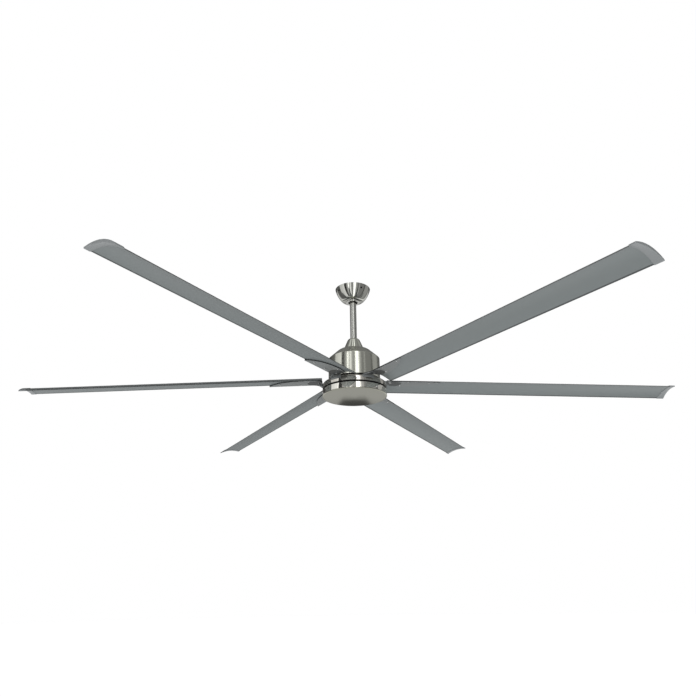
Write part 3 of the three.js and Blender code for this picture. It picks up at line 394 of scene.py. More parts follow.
def layered(paint, colour, rough):
    """Stacked steel laminations, half a millimetre each, with a dull varnish."""
    point = paint.point()
    level = paint.parts(point)[2]
    sheet = ((level * SHEET_TURN).math("SINE") * 0.5 + 0.5) ** 0.4
    fine = paint.noise(point, 500.0, 3.0)
    tone = paint.blend(sheet, shade(colour, 0.45), paint.blend(fine, shade(colour, 0.9), shade(colour, 1.2)))
    return tone, (rough + (fine - 0.5) * 0.2).clipped(), paint.bump(sheet, 1e-4)


def wound(paint, colour, rough):
    """Enamelled wire laid side by side round the teeth, under a thin glossy varnish."""
    point = paint.point()
    x, y, z = paint.parts(point)
    wire = (y.math("ARCTAN2", x) * WIRE_COUNT + z * WIRE_LEAN).math("SINE") * 0.5 + 0.5
    fine = paint.noise(point, 240.0, 3.0)
    tone = paint.blend(wire * 0.6 + fine * 0.4, shade(colour, 0.55), shade(colour, 1.25))
    return tone, (rough + (fine - 0.5) * 0.2).clipped(), paint.bump(wire, 3e-4)


def traced(paint, colour, rough):
    """Circuit board: darker fields between the copper tracks that show through the green mask."""
    point = paint.point()
    settings, inputs = {"feature": "DISTANCE_TO_EDGE"}, {"Vector": point, "Scale": 150.0}
    track = paint.node("ShaderNodeTexVoronoi", settings, inputs)
    line = 1.0 - track.step(0.03, 0.08)
    fine = paint.noise(point, 700.0, 2.0)
    tone = paint.blend(line, shade(colour, 0.8), shade(colour, 1.7))
    return tone, (rough + (fine - 0.5) * 0.15).clipped(), paint.bump(line, 5e-5)


# Painted shade: black insides and black shadow lines on the lips at the gaps [radius, level, lip's level,
# lip's side], and the arm's neck [along, across, radius]
DRUM_SHADE, RING_SHADE = (101.2, -330.0, -403.6, 1.0), (125.3, -419.0, -439.0, 1.0)
BAND_SHADE = (126.2, -400.0, -446.8, -1.0)
ARM_NECK = (158.0, 6.0, 27.0)

# Colour, how metallic, roughness, build step and, for brushed metal, how drawn out it is and its turn
RECIPES = {
    "brushed_nickel": ((0.682, 0.689, 0.614), 1.0, 0.22, turned_metal(2600.0, 2e-6, shade_lining=DRUM_SHADE),
                       0.75, 0.25),
    "rod_nickel": ((0.525, 0.53, 0.5), 1.0, 0.24, drawn_metal(900.0, 1e-6, 0.03)),
    "bell_nickel": ((0.66, 0.675, 0.6), 1.0, 0.05, turned_metal(1500.0, 1e-6, 0.04), 0.3, 0.25),
    # Painted shade near the collar: the bowl is darker below -52 mm
    "bowl_nickel": ((0.615, 0.62, 0.575), 1.0, 0.11, turned_metal(1500.0, 2e-6, 0.05, 0.03, shade_below=-52.0),
                    0.5, 0.25),
    "collar_nickel": ((0.9, 0.9, 0.855), 1.0, 0.3, turned_metal(1500.0, 2e-6, 0.05)),
    "ring_chrome": ((0.68, 0.66, 0.605), 1.0, 0.035, polished_metal(0.03, RING_SHADE)),
    "band_chrome": ((0.9, 0.885, 0.815), 1.0, 0.035, polished_metal(0.03, BAND_SHADE)),
    "brushed_dish": ((0.475, 0.472, 0.4), 1.0, 0.07, turned_metal(2200.0, 1e-6, 0.03, 0.06), 0.5),
    # Blades: the darker edges, from rub_and_shade and shade_brink, are painted shade
    "blade_grey": ((0.215, 0.238, 0.24), 0.35, 0.42, run_metal(900.0, 5e-6, rub_and_shade=0.3, shade_brink=4.0)),
    "cap_grey": ((0.235, 0.25, 0.255), 0.0, 0.34, run_metal(300.0, 1e-5, 0.1, 0.06)),
    "arm_grey": ((0.235, 0.25, 0.25), 0.5, 0.4, run_metal(600.0, 8e-6, 0.15, 0.12, 0.35, ARM_NECK)),
    # Gasket black, which also stands in for the shade between arm and blade
    "gasket_shade_black": ((0.012, 0.012, 0.013), 0.0, 0.6, grained(900.0, 4e-5)),
    "galvanised_steel": ((0.46, 0.47, 0.48), 1.0, 0.42, spangled),
    "zinc_plate": ((0.62, 0.63, 0.63), 1.0, 0.25, grained(300.0, 1e-5, 0.12, 0.06)),
    "dark_zinc": ((0.04, 0.04, 0.043), 1.0, 0.45, grained(300.0, 1e-5, 0.12, 0.06)),
    "black_plastic": ((0.02, 0.021, 0.023), 0.0, 0.45, grained(700.0, 4e-5)),
    # Painted shade: black for the internals seen through the gaps
    "painted_shade_black": ((0.02, 0.02, 0.022), 0.0, 0.5, grained(420.0, 6e-5)),
    "cable_rubber": ((0.018, 0.018, 0.019), 0.0, 0.6, grained(500.0, 3e-5)),
    "white_nylon": ((0.72, 0.7, 0.64), 0.0, 0.45, grained(350.0, 3e-5, 0.1, 0.05)),
    "cast_aluminium": ((0.42, 0.43, 0.44), 1.0, 0.5, grained(420.0, 8e-5, 0.15, 0.1)),
    "bearing_steel": ((0.6, 0.61, 0.62), 1.0, 0.18, turned_metal(1800.0, 2e-6)),
    "silicon_steel": ((0.2, 0.21, 0.23), 0.9, 0.45, layered),
    "copper": ((0.62, 0.26, 0.12), 0.9, 0.35, wound),
    "magnet": ((0.05, 0.05, 0.055), 0.3, 0.55, grained(500.0, 5e-5)),
    "board_green": ((0.02, 0.12, 0.06), 0.0, 0.4, traced),
}
FINISHES = {name: finish(name, *recipe) for name, recipe in RECIPES.items()}

# Pieces inside the fan, which keep the shapes of the frame
NODE_FINISHES = {
    "galvanised_steel": ["hanger_bracket"],
    "white_nylon": ["ball_liner", "terminal_block"],
    "black_plastic": ["hanger_ball", "driver_module"],
    "zinc_plate": ["ball_pin", "rod_pin", "rod_pin_clip", "shaft_nut"],
    "cable_rubber": ["supply_cable"],
    "cast_aluminium": ["motor_coupling", "stator_hub"],
    # Painted shade: the rotor shells and cap plate get a black finish that stands in for the shade inside the
    # gaps
    "painted_shade_black": ["rotor_upper_shell", "rotor_lower_shell", "cap_plate"],
    "bearing_steel": ["set_screw_1", "set_screw_2", "motor_shaft", "bearing_upper", "bearing_lower",
                      "spacer_sleeve"],
    "silicon_steel": ["stator_core"],
    "copper": ["stator_windings"],
    "board_green": ["control_board"],
    "magnet": ["magnet_ring"],
}
for kind, names in NODE_FINISHES.items():
    for name in names:
        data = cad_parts[name].data
        data.materials.clear()
        data.materials.append(FINISHES[kind])


# Surfaces
def grid(points, edge=None, run=None):
    """A net of points [rows, columns, 3] in millimetres, with edge mask and metric map if it has them."""
    rows, columns = points.shape[:2]
    edge = np.zeros((rows, columns)) if edge is None else np.broadcast_to(edge, (rows, columns))
    run = np.zeros((rows, columns, 2)) if run is None else run
    return points.reshape(-1, 3), edge.reshape(-1), run.reshape(-1, 2), quads(rows, columns)


def quads(rows, columns):
    """Corner numbers of every cell of a net."""
    corner = np.arange(rows * columns).reshape(rows, columns)
    around = [corner[:-1, :-1], corner[1:, :-1], corner[1:, 1:], corner[:-1, 1:]]
    return np.stack(around, axis=-1).reshape(-1, 4)


def piece(name, grids, body, kind, nodes=(), sharp=35.0):
    """One finished mesh from several nets, welded where they meet and facing outwards. It rides on a body,
    stands in for nodes of the frame, and its one slot holds its finish."""
    starts = np.cumsum([0] + [len(g[0]) for g in grids])
    points = np.concatenate([g[0] for g in grids]) * MM
    edge = np.concatenate([g[1] for g in grids])
    run = np.concatenate([g[2] for g in grids]) * MM
    faces = np.concatenate([g[3] + start for g, start in zip(grids, starts)])
    mesh = bpy.data.meshes.new(name)
    mesh.from_pydata(points.tolist(), [], faces.tolist())
    mesh.attributes.new("edge", "FLOAT", "POINT").data.foreach_set("value", edge.astype(np.float32))
    layer = mesh.uv_layers.new(name="run")
    layer.uv.foreach_set("vector", run[faces.reshape(-1)].astype(np.float32).reshape(-1))
    weld = bmesh.new()
    weld.from_mesh(mesh)
    bmesh.ops.remove_doubles(weld, verts=weld.verts, dist=2e-6)
    bmesh.ops.recalc_face_normals(weld, faces=weld.faces)
    weld.to_mesh(mesh)
    weld.free()
    mesh.polygons.foreach_set("use_smooth", [True] * len(mesh.polygons))
    mesh.set_sharp_from_angle(angle=np.radians(sharp))
    mesh.materials.append(FINISHES[kind])
    made = placed(name, mesh)
    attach(made, body)
    if nodes:
        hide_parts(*nodes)


def bend(start, towards, end, steps):
    """A curve from start to end, drawn towards a third point by weights (1 - t)^2, 2 t (1 - t) and t^2."""
    t = np.linspace(0.0, 1.0, steps + 1)[:, None]
    start, towards, end = (np.asarray(p, float)[:2] for p in (start, towards, end))
    return (1 - t) ** 2 * start + 2 * t * (1 - t) * towards + t ** 2 * end


def eased(outline, closed):
    """Rounds each corner [x, y, size] by a curve through points that far from it along both sides.
    Gives radii, levels, and a mask that is 1 in the middle of each rounding."""
    places = np.array([p[:2] for p in outline], float)
    sizes = [(*p, 0.0)[2] for p in outline]
    found, mask = [], []
    for i, (place, size) in enumerate(zip(places, sizes)):
        end = not closed and i in (0, len(outline) - 1)
        if not size or end:
            found.append(place)
            mask.append(0.0)
            continue
        before, after = places[i - 1] - place, places[(i + 1) % len(places)] - place
        near, far = (side * min(size / np.linalg.norm(side), ROUNDING_SHARE) for side in (before, after))
        found.extend(bend(place + near, place, place + far, CORNER_STEPS))
        mask.extend(np.sin(np.pi * np.linspace(0.0, 1.0, CORNER_STEPS + 1)))
    if closed:
        found, mask = [*found, found[0]], [*mask, mask[0]]
    return *np.array(found).T, np.array(mask)


def carried(angle, radius, level):
    """Points of an outline at every angle: x = r cos a, y = r sin a."""
    return np.stack([np.cos(angle) * radius, np.sin(angle) * radius, level + 0 * angle], axis=-1)


def turned(name, outline, body, kind, nodes, closed=True):
    """A piece that is one outline [radius, level, rounding] carried round the Z axis."""
    radius, level, mask = eased(outline, closed)
    angle = np.linspace(0.0, 2 * np.pi, TURN_STEPS + 1)[:, None]
    piece(name, [grid(carried(angle, radius, level), mask)], body, kind, nodes)


# Canopy, rod and cover
def bowl_curve(inset):
    """The bowl's side, bent from rim to heel, and its sole, bent from there to the edge of the floor."""
    waist = (CANOPY_WAIST[0] - inset, CANOPY_WAIST[1] + inset)
    heel, sole = ((radius - inset / 2, level + inset) for radius, level in (CANOPY_HEEL, CANOPY_SOLE))
    side = bend((CANOPY_RADIUS - inset, CANOPY_RIM), waist, heel, 24)
    return np.vstack([side, bend(heel, sole, (CANOPY_FLOOR[0], CANOPY_FLOOR[1] + inset), 12)[1:]])


def canopy_bowl():
    """The bowl: its outer curve from rim to floor, the hole's edge, and the curve again inside its wall."""
    outer, inner = bowl_curve(0.0), bowl_curve(CANOPY_WALL)
    floor = CANOPY_FLOOR[1]
    outline = [
        (*outer[0], CANOPY_EDGE),
        *outer[1:],
        (CANOPY_HOLE, floor, CANOPY_EDGE),
        (CANOPY_HOLE, floor + CANOPY_WALL, CANOPY_EDGE),
        *inner[:0:-1],
        (*inner[0], CANOPY_INNER_EDGE),
    ]
    turned("canopy_bowl", outline, "ceiling_mount", "bowl_nickel", ["canopy"])


def trim_collar():
    """The collar at the bowl's lower opening: a rounded lip outside, and a neck that holds it in the hole."""
    low, middle, neck = TRIM_TOP - TRIM_THICK, TRIM_TOP - TRIM_THICK / 2, CANOPY_HOLE - GAP
    outline = [
        (TRIM_BORE, low, TRIM_BORE_EDGE),
        (TRIM_RADIUS, low, TRIM_LIP_EDGE),
        (TRIM_RADIUS, TRIM_TOP, TRIM_EDGE),
        (neck, TRIM_TOP),
        (neck, TRIM_TOP + TRIM_NECK_RISE, TRIM_EDGE),
        (neck - TRIM_NECK_WALL, TRIM_TOP + TRIM_NECK_RISE, TRIM_EDGE),
        (neck - TRIM_NECK_WALL, middle),
        (TRIM_BORE, middle, TRIM_EDGE),
    ]
    turned("trim_collar", outline, "ceiling_mount", "collar_nickel", ["canopy_trim_ring"])


def hanging_rod():
    """The pipe: a ring of wall, with all four edges rounded."""
    outline = [
        (ROD_BORE, ROD_BOTTOM, ROD_BORE_EDGE),
        (ROD_RADIUS, ROD_BOTTOM, ROD_EDGE),
        (ROD_RADIUS, ROD_TOP, ROD_EDGE),
        (ROD_BORE, ROD_TOP, ROD_BORE_EDGE),
    ]
    turned("hanging_rod", outline, "hanging_motor", "rod_nickel", ["downrod"])


def bell_cover():
    """The bell over the joint: a short straight foot, a flared skirt and a rounded crown round the rod."""
    base, top, wall = COVER_BASE, COVER_TOP, COVER_WALL
    foot, waist, neck = ((radius, base + rise) for radius, rise in (COVER_FOOT, COVER_WAIST, COVER_NECK))
    skirt = bend(foot, waist, neck, 16)
    crown = bend(neck, (COVER_CROWN, top), (COVER_BORE + wall, top), 12)
    thin = np.array([wall, wall / 2])
    inner_crown = bend((COVER_BORE + wall, top - wall), (COVER_CROWN - wall, top - wall), neck - thin, 8)
    inner_skirt = bend(neck - thin, waist - thin, foot - thin, 8)
    outline = [
        (foot[0] - wall, base, COVER_INNER_EDGE),
        (foot[0], base, COVER_EDGE),
        *skirt,
        *crown[1:],
        (COVER_BORE, top, COVER_BORE_EDGE),
        (COVER_BORE, top - wall),
        *inner_crown,
        *inner_skirt[1:],
    ]
    turned("bell_cover", outline, "hanging_motor", "bell_nickel", ["coupling_cover"])


def shoulder_curve(inset):
    """The shoulder's rounded top edge, bent from the cone's slope into the flat crown."""
    radius, level = SHOULDER_RADIUS - inset / 2, HOUSING_TOP - inset
    slope = (HOUSING_TOP - CREASE_LEVEL) / (HOUSING_RADIUS - SHOULDER_RADIUS)
    start = (radius + SHOULDER_ROUNDING, level - SHOULDER_ROUNDING * slope)
    return bend(start, (radius, level), (radius - SHOULDER_ROUNDING, level), 10)


def motor_drum():
    """The drum: a straight wall, a crease, a conical shoulder and a flat crown under the bell."""
    wall = HOUSING_WALL
    outline = [
        (HOUSING_RADIUS - wall, HOUSING_BOTTOM, HOUSING_INNER_EDGE),
        (HOUSING_RADIUS, HOUSING_BOTTOM, HOUSING_EDGE),
        (HOUSING_RADIUS, CREASE_LEVEL, CREASE_EDGE),
        *shoulder_curve(0.0),
        (HOUSING_HOLE, HOUSING_TOP, HOUSING_HOLE_EDGE),
        (HOUSING_HOLE, HOUSING_TOP - wall, HOUSING_HOLE_EDGE),
        *shoulder_curve(wall)[::-1],
        (HOUSING_RADIUS - wall, CREASE_LEVEL - wall / 2, HOUSING_INNER_EDGE),
    ]
    turned("motor_drum", outline, "hanging_motor", "brushed_nickel", ["motor_housing"])


# Polished ring, band and dish
def polished_ring():
    """The ring's outline carried round the axis, but between the notches' straight sides every point above
    the notch floor drops to it. A side lies at a fixed distance from the radius through it, so its angle is
    arcsin(side / r)."""
    edge = RING_RADIUS - RING_SHOULDER
    shoulder = bend((RING_RADIUS, RING_TOP - RING_SHOULDER), (RING_RADIUS, RING_TOP), (edge, RING_TOP), 12)
    notch_inner, ledge = FOOT_INNER - GAP, 0.6
    outline = [
        (SKIRT_INNER, WEB_LEVEL - WEB_THICK),
        (RIM_INNER, WEB_LEVEL - WEB_THICK),
        (RIM_INNER, RING_BOTTOM, GROOVE_EDGE),
        (GROOVE_INNER, RING_BOTTOM, GROOVE_EDGE),
        (GROOVE_INNER, RING_BOTTOM + GROOVE_DEPTH),
        (GROOVE_OUTER, RING_BOTTOM + GROOVE_DEPTH),
        (GROOVE_OUTER, RING_BOTTOM, GROOVE_EDGE),
        (RING_RADIUS, RING_BOTTOM, RING_EDGE),
        (RING_RADIUS, BLADE_DATUM),
        *shoulder,
        (notch_inner + ledge, RING_TOP),
        (notch_inner, RING_TOP),
        (RIM_INNER, RING_TOP, GROOVE_EDGE),
        (RIM_INNER, WEB_LEVEL),
        (SKIRT_INNER, WEB_LEVEL),
    ]
    radius, level, mask = eased(outline, True)
    lowered = np.where(radius > notch_inner + ledge / 2, np.minimum(level, BLADE_DATUM), level)
    lead, trail = (np.arcsin(np.clip(side / radius, -1, 1)) for side in (FOOT_LEAD - GAP, FOOT_TRAIL + GAP))
    rows = []
    for k in range(BLADE_COUNT):
        turn = k * 2 * np.pi / BLADE_COUNT
        for start, end, height, steps in (
            (lead, trail, lowered, NOTCH_STEPS),
            (trail, lead + 2 * np.pi / BLADE_COUNT, level, RIM_STEPS),
        ):
            t = np.linspace(0.0, 1.0, steps + 1)[:, None]
            angle = turn + start + (end - start) * t
            rows.append(carried(angle, radius, height))
    points = np.concatenate([*rows, rows[0][:1]])
    piece("polished_ring", [grid(points, mask)], "rotor", "ring_chrome", ["blade_ring"])


def polished_band():
    """The band: a plain hoop with rounded edges."""
    inner = BAND_RADIUS - BAND_WALL
    outline = [
        (inner, BAND_BOTTOM, BAND_INNER_EDGE),
        (BAND_RADIUS, BAND_BOTTOM, BAND_EDGE),
        (BAND_RADIUS, BAND_TOP, BAND_EDGE),
        (inner, BAND_TOP, BAND_INNER_EDGE),
    ]
    turned("polished_band", outline, "hanging_motor", "band_chrome", ["bottom_band"])


def brushed_dish():
    """The dish: a rim bent under the band, a very shallow dome, and an upstand that slips into the band."""
    top = BAND_BOTTOM - GAP
    low = top - DISH_DEPTH
    outer = BAND_RADIUS - BAND_WALL - GAP
    inner = outer - BAND_WALL
    lip, corner = (BAND_RADIUS, top - DISH_LIP), (BAND_RADIUS - DISH_LIP, low)
    rim = bend(lip, corner, (BAND_RADIUS - DISH_EDGE, low), 12)
    dome = bend(rim[-1], (BAND_RADIUS / 2, low - DISH_DOME), (0.0, low - DISH_DOME), 20)
    outline = [
        (0.0, top - DISH_DOME),
        (inner, top),
        (inner, top + DISH_UPSTAND, DISH_LIP_EDGE),
        (outer, top + DISH_UPSTAND, DISH_LIP_EDGE),
        (outer, top),
        (BAND_RADIUS, top, DISH_LIP_EDGE),
        *rim,
        *dome[1:],
    ]
    turned("brushed_dish", outline, "hanging_motor", "brushed_dish", ["bottom_cap"], closed=False)


# Blades, end caps and arms
def blade_axes():
    """Turns [across, up, along] of the first blade's own frame into the fan's frame."""
    pitch, droop = np.radians(PITCH), np.radians(DROOP)
    cos, sin = np.cos(pitch), np.sin(pitch)
    basis = np.array([[0.0, 0.0, 1.0], [cos, sin, 0.0], [-sin, cos, 0.0]])
    tip_down = np.array([[np.cos(droop), 0, np.sin(droop)], [0, 1, 0], [-np.sin(droop), 0, np.cos(droop)]])
    return tip_down @ basis, tip_down @ np.array([0.0, LEAD, LEAD_RISE]) + np.array([0.0, 0.0, BLADE_DATUM])


AXES, ORIGIN = blade_axes()


def on_blade(across, up, along, k):
    """Points in blade k's frame, given in millimetres, in the fan's frame."""
    local = np.stack(np.broadcast_arrays(across, up, along), axis=-1).astype(float)
    return turned_about(local @ AXES.T + ORIGIN, k)


def turned_about(points, k):
    """Points of the first blade, turned about the axis to blade k: x cos a - y sin a, x sin a + y cos a."""
    angle = k * 2 * np.pi / BLADE_COUNT
    turn = np.array([[np.cos(angle), -np.sin(angle), 0], [np.sin(angle), np.cos(angle), 0], [0, 0, 1]])
    return points @ turn.T


def section_shares(edge, breaks=()):
    """Shares of the chord, close together where the edges round off, and passing through every break."""
    quarter = edge * (1 - np.cos(np.linspace(0, np.pi / 2, 6)))
    middle = np.linspace(edge, 1 - edge, SECTION_STEPS)
    return np.unique(np.round(np.concatenate([quarter, middle, 1 - quarter, breaks]), 9))


def section(share, grow=0.0):
    """The crescent's upper and lower heights at a share of the chord. Both follow 4 c t (1 - t), and near
    an edge the thickness shrinks as a half circle does."""
    arch = 4 * share * (1 - share)
    middle = (BLADE_EDGE + (CAMBER_HIGH + CAMBER_LOW) * arch) / 2
    half = (BLADE_EDGE + (CAMBER_HIGH - CAMBER_LOW) * arch) / 2 + grow
    size = (BLADE_EDGE / 2 + grow) / (CHORD + 2 * grow)
    near = np.clip(np.minimum(share, 1 - share) / size, 0.0, 1.0)
    half = half * np.sqrt(np.clip(1 - (1 - near) ** 2, 0.0, 1.0))
    return middle + half, middle - half, middle


def loop(share, grow=0.0):
    """The closed outline, over the top and back underneath: shares, heights and middle heights."""
    high, low, middle = section(share, grow)
    shares = np.concatenate([share, share[::-1]])
    return shares, np.concatenate([high, low[::-1]]), np.concatenate([middle, middle[::-1]])


def arched_blade(k):
    """An extrusion: the crescent's outline run out along the blade, three hollow cells inside it, and end
    faces that leave the cells open. At the share t from a long edge, the edge mask is 1.3 - t / 0.03."""
    tiny, mask_top, mask_width = 1e-9, 1.3, 0.03
    pitch = (CHORD - 2 * CELL_INSET + WEB) / CELLS
    cells = [(CELL_INSET + pitch * i, CELL_INSET + pitch * (i + 1) - WEB) for i in range(CELLS)]
    sides = np.ravel(cells) / CHORD
    share = section_shares(BLADE_EDGE / 2 / CHORD, sides)
    end = SWEEP - CAP_END - GAP
    station = np.linspace(BLADE_ROOT, end, BLADE_STATIONS)[:, None]
    shares, heights, _ = loop(share)
    # On the blades this edge mask carries the painted shade of the long edges
    edge = np.clip(mask_top - np.minimum(shares, 1 - shares) / mask_width, 0, 1)
    run = np.stack(np.broadcast_arrays(station, shares * CHORD), axis=-1)
    grids = [grid(on_blade(shares * CHORD, heights, station, k), edge, run)]
    high, low, _ = section(share)
    bounds = [0.0, *sides, 1.0]
    for i, (start, stop) in enumerate(zip(bounds[:-1], bounds[1:])):
        part = (share >= start - tiny) & (share <= stop + tiny)
        skin = np.minimum(SKIN, (high - low)[part] / 3)
        rows = [high[part], high[part] - skin, low[part] + skin, low[part]]
        hollow = i % 2 == 1
        across = share[part] * CHORD
        for level in (BLADE_ROOT, end):
            for upper, lower in ([(0, 1), (2, 3)] if hollow else [(0, 1), (1, 2), (2, 3)]):
                grids.append(grid(on_blade(across, np.stack([rows[upper], rows[lower]]), level, k)))
        if hollow:
            outline = np.concatenate([across, across[::-1], across[:1]])
            height = np.concatenate([rows[1], rows[2][::-1], rows[1][:1]])
            grids.append(grid(on_blade(outline, height, np.array([[BLADE_ROOT], [end]]), k)))
    piece(f"arched_blade_{k + 1}", grids, "rotor", "blade_grey", [f"blade_{k + 1}"])


def end_cap(k):
    """A sleeve over the blade's end: from the inner end wall out to the curved mouth, back over the outside
    to a rounded rim, and across the end to the crescent's middle line."""
    gap, wall, soft, lip, lip_run = GAP, GAP + CAP_WALL, 1.1, 0.3, 0.4
    share = section_shares((BLADE_EDGE / 2 + wall) / (CHORD + 2 * wall))
    rows, marks, runs = [], [], []

    def mouth(t):
        """How far out the mouth lies at a share of the chord. It falls back by the share's square."""
        return SWEEP - CAP_LEAD - (CAP_TRAIL - CAP_LEAD) * t ** 2

    def row(grow, station, mark=0.0, closing=False):
        """One crescent, grown by so much and at one station, or at a station for every share."""
        shares, heights, middle = loop(share, grow)
        across = shares * (CHORD + 2 * grow) - grow
        height = middle if closing else heights
        along = station(shares) if callable(station) else station
        rows.append(on_blade(across, height, along, k))
        marks.append(np.full(len(shares), mark))
        runs.append(np.stack(np.broadcast_arrays(along, across), axis=-1))

    row(gap, SWEEP - CAP_END, closing=True)
    row(gap, SWEEP - CAP_END)
    row(gap, mouth)
    row(wall - lip, mouth, 1.0)
    row(wall, lambda t: mouth(t) + lip_run)
    row(wall, lambda t: (mouth(t) + SWEEP) / 2)
    for angle in np.linspace(0, np.pi / 2, 5):
        row(wall - soft * (1 - np.cos(angle)), SWEEP - soft + soft * np.sin(angle), np.sin(2 * angle))
    row(wall - soft, SWEEP, closing=True)
    net = grid(np.stack(rows), np.stack(marks), np.stack(runs))
    piece(f"end_cap_{k + 1}", [net], "rotor", "cap_grey", [f"blade_tip_cap_{k + 1}"], sharp=50.0)


def arm_sides():
    """The arm's plan as two curves from its foot to its point: [along the blade, across], leading and inner
    side. Each starts at the foot, swings out over the neck and runs to the point in one long bow."""
    tip = (ARM_REACH, LEAD)
    lead = np.vstack([
        [(FOOT_INNER + 22.0, FOOT_LEAD)],
        bend((132.0, FOOT_LEAD + 3.0), (140.0, LEAD), (168.0, LEAD), 8),
        bend((190.0, LEAD), (260.0, LEAD), tip, 15),
    ])
    inner = np.vstack([
        [(FOOT_INNER + 22.0, FOOT_TRAIL)],
        bend((130.0, FOOT_TRAIL + 6.0), (134.0, 32.0), (150.0, 34.0), 8),
        bend((188.0, 38.5), (278.0, 30.0), tip, 15),
    ])
    return lead, inner


def underside(across):
    """Height of the blade's underside: 4 c t (1 - t) at the share t of the chord."""
    share = (across - LEAD) / CHORD
    return CAMBER_LOW * 4 * share * (1 - share)


def arm_shell(name, k, top_drop, thickness, inset, kind, nodes, soft):
    """A plate under the blade. Between the two plan curves, a row runs over the top, down the inner side,
    back underneath and up the leading side; its height follows the blade's underside. The lower edges are
    rounded by a quarter circle. A net that runs together in its middle closes each end."""
    lead, inner = arm_sides()
    width = np.linalg.norm(inner - lead, axis=1)
    most_share, least_reach = 0.3, 0.02
    curl = 1 - np.cos(np.linspace(0, np.pi / 2, 4))
    rows, marks, runs = [], [], []
    for a, b, w in zip(lead, inner, width):
        side = (b - a) / max(w, 1e-6)
        inset_here = min(inset, w * most_share)
        reach = max(w - 2 * inset_here, least_reach)
        bevel = min(soft, reach * most_share)
        flat = np.linspace(0, reach, ARM_STEPS)
        between = np.linspace(bevel, reach - bevel, ARM_STEPS)[1:-1]
        lower = np.concatenate([bevel * curl, between, reach - bevel * curl[::-1]])
        near = np.minimum(lower, reach - lower)
        rounding = soft * (1 - np.sqrt(np.clip(1 - (1 - near / bevel) ** 2, 0, 1)))
        rise = np.where(near < bevel, rounding, 0)
        offset = inset_here + np.concatenate([flat, lower[::-1], flat[:1]])
        sink = np.concatenate([np.zeros(ARM_STEPS), thickness - rise[::-1], [0.0]])
        along, across = a[0] + side[0] * offset, a[1] + side[1] * offset
        rows.append(on_blade(across - LEAD, underside(across) - top_drop - sink, along, k))
        marks.append(np.concatenate([np.zeros(ARM_STEPS), np.clip(rise[::-1] / soft * 3, 0, 1), [0.0]]))
        runs.append(np.stack([along, across], axis=-1))
    points = np.stack(rows)
    root, tip = (row.mean(axis=1, keepdims=True) + 0 * row for row in (points[:1], points[-1:]))
    grids = [grid(points, np.stack(marks), np.stack(runs)), grid(np.concatenate([root, points[:1]])),
             grid(np.concatenate([points[-1:], tip]))]
    if nodes:
        grids.append(arm_foot(k))
    piece(name, grids, "rotor", kind, nodes)


def arm_foot(k):
    """The block that fills the ring's notch: its outline, round outside, carried up level by level. Each
    level draws it in towards its middle by a share, which rounds the top edge and closes both faces."""
    side = np.linspace(FOOT_LEAD, FOOT_TRAIL, FOOT_STEPS)
    outer = np.stack([np.sqrt(FOOT_OUTER ** 2 - side ** 2), side], axis=-1)
    inner = np.stack([np.full(FOOT_STEPS, FOOT_INNER), side[::-1]], axis=-1)
    outline = np.vstack([outer, inner, outer[:1]])
    centre = outline[:-1].mean(axis=0)
    low, high, soft = BLADE_DATUM + GAP, RING_TOP, 1.2
    levels = (
        (low, 1.0), (low, 0.0), (high - soft, 0.0), (high - soft * 0.3, 0.012), (high, 0.04), (high, 1.0),
    )
    rows = []
    for level, shrink in levels:
        flat = outline + (centre - outline) * shrink
        rows.append(np.column_stack([flat, np.full(len(flat), level)]))
    points = turned_about(np.stack(rows), k)
    mark = np.array([0, 0, 0, 1, 0, 0])[:, None] + 0 * points[..., 0]
    return grid(points, mark, points[..., :2])


# Screws
def screw_net(centre, axis, outline):
    """A head turned about its own axis from [radius, height, shape]. A cross or hexagon shape pulls each
    ring in to that outline, which cuts the driver's recess: a hexagon by cos 30 / cos a, and a cross by its
    arms' half width over sin a. Rings above the foot carry part of the edge mask."""
    arm, foot, mask = 0.3, 0.2, 0.6
    axis = np.asarray(axis, float) / np.linalg.norm(axis)
    side = np.cross(axis, (0.0, 0.0, 1.0) if abs(axis[2]) < 0.9 else (1.0, 0.0, 0.0))
    side /= np.linalg.norm(side)
    other = np.cross(axis, side)
    angle = np.linspace(0.0, 2 * np.pi, SCREW_STEPS + 1)
    fold = np.abs((angle + np.pi / 4) % (np.pi / 2) - np.pi / 4)
    hexagon = np.cos(np.pi / 6) / np.cos(angle % (np.pi / 3) - np.pi / 6)
    cross = np.minimum(1.0 / np.cos(fold), arm / np.maximum(np.sin(fold), 1e-6))
    shapes = {"round": np.ones_like(angle), "hex": hexagon, "cross": cross}
    rows = []
    for radius, height, shape in outline:
        reach = radius * shapes[shape]
        ring = np.outer(np.cos(angle) * reach, side) + np.outer(np.sin(angle) * reach, other)
        rows.append(np.asarray(centre) + ring + height * axis)
    mark = np.array([mask if height > foot else 0.0 for _, height, _ in outline])[:, None]
    return grid(np.stack(rows), mark)


# Heads as shares of radius and height, from the middle of the recess outwards
HEADS = {
    "pan": ((0.0, 0.25, "cross"), (0.52, 0.3, "cross"), (0.56, 0.97, "cross"), (0.7, 0.86, "round"),
            (0.88, 0.6, "round"), (1.0, 0.25, "round")),
    "socket": ((0.0, 0.2, "hex"), (0.5, 0.2, "hex"), (0.52, 1.0, "hex"), (0.85, 1.0, "round"),
               (1.0, 0.85, "round")),
}


def screw_outline(style, radius, height, shank, length):
    """A head with its recess, and the shank below it."""
    head = [(radius * share, height * rise, shape) for share, rise, shape in HEADS[style]]
    foot = [(radius, 0.0), (shank, 0.0), (shank, -length), (0.0, -length)]
    return head + [(*place, "round") for place in foot]


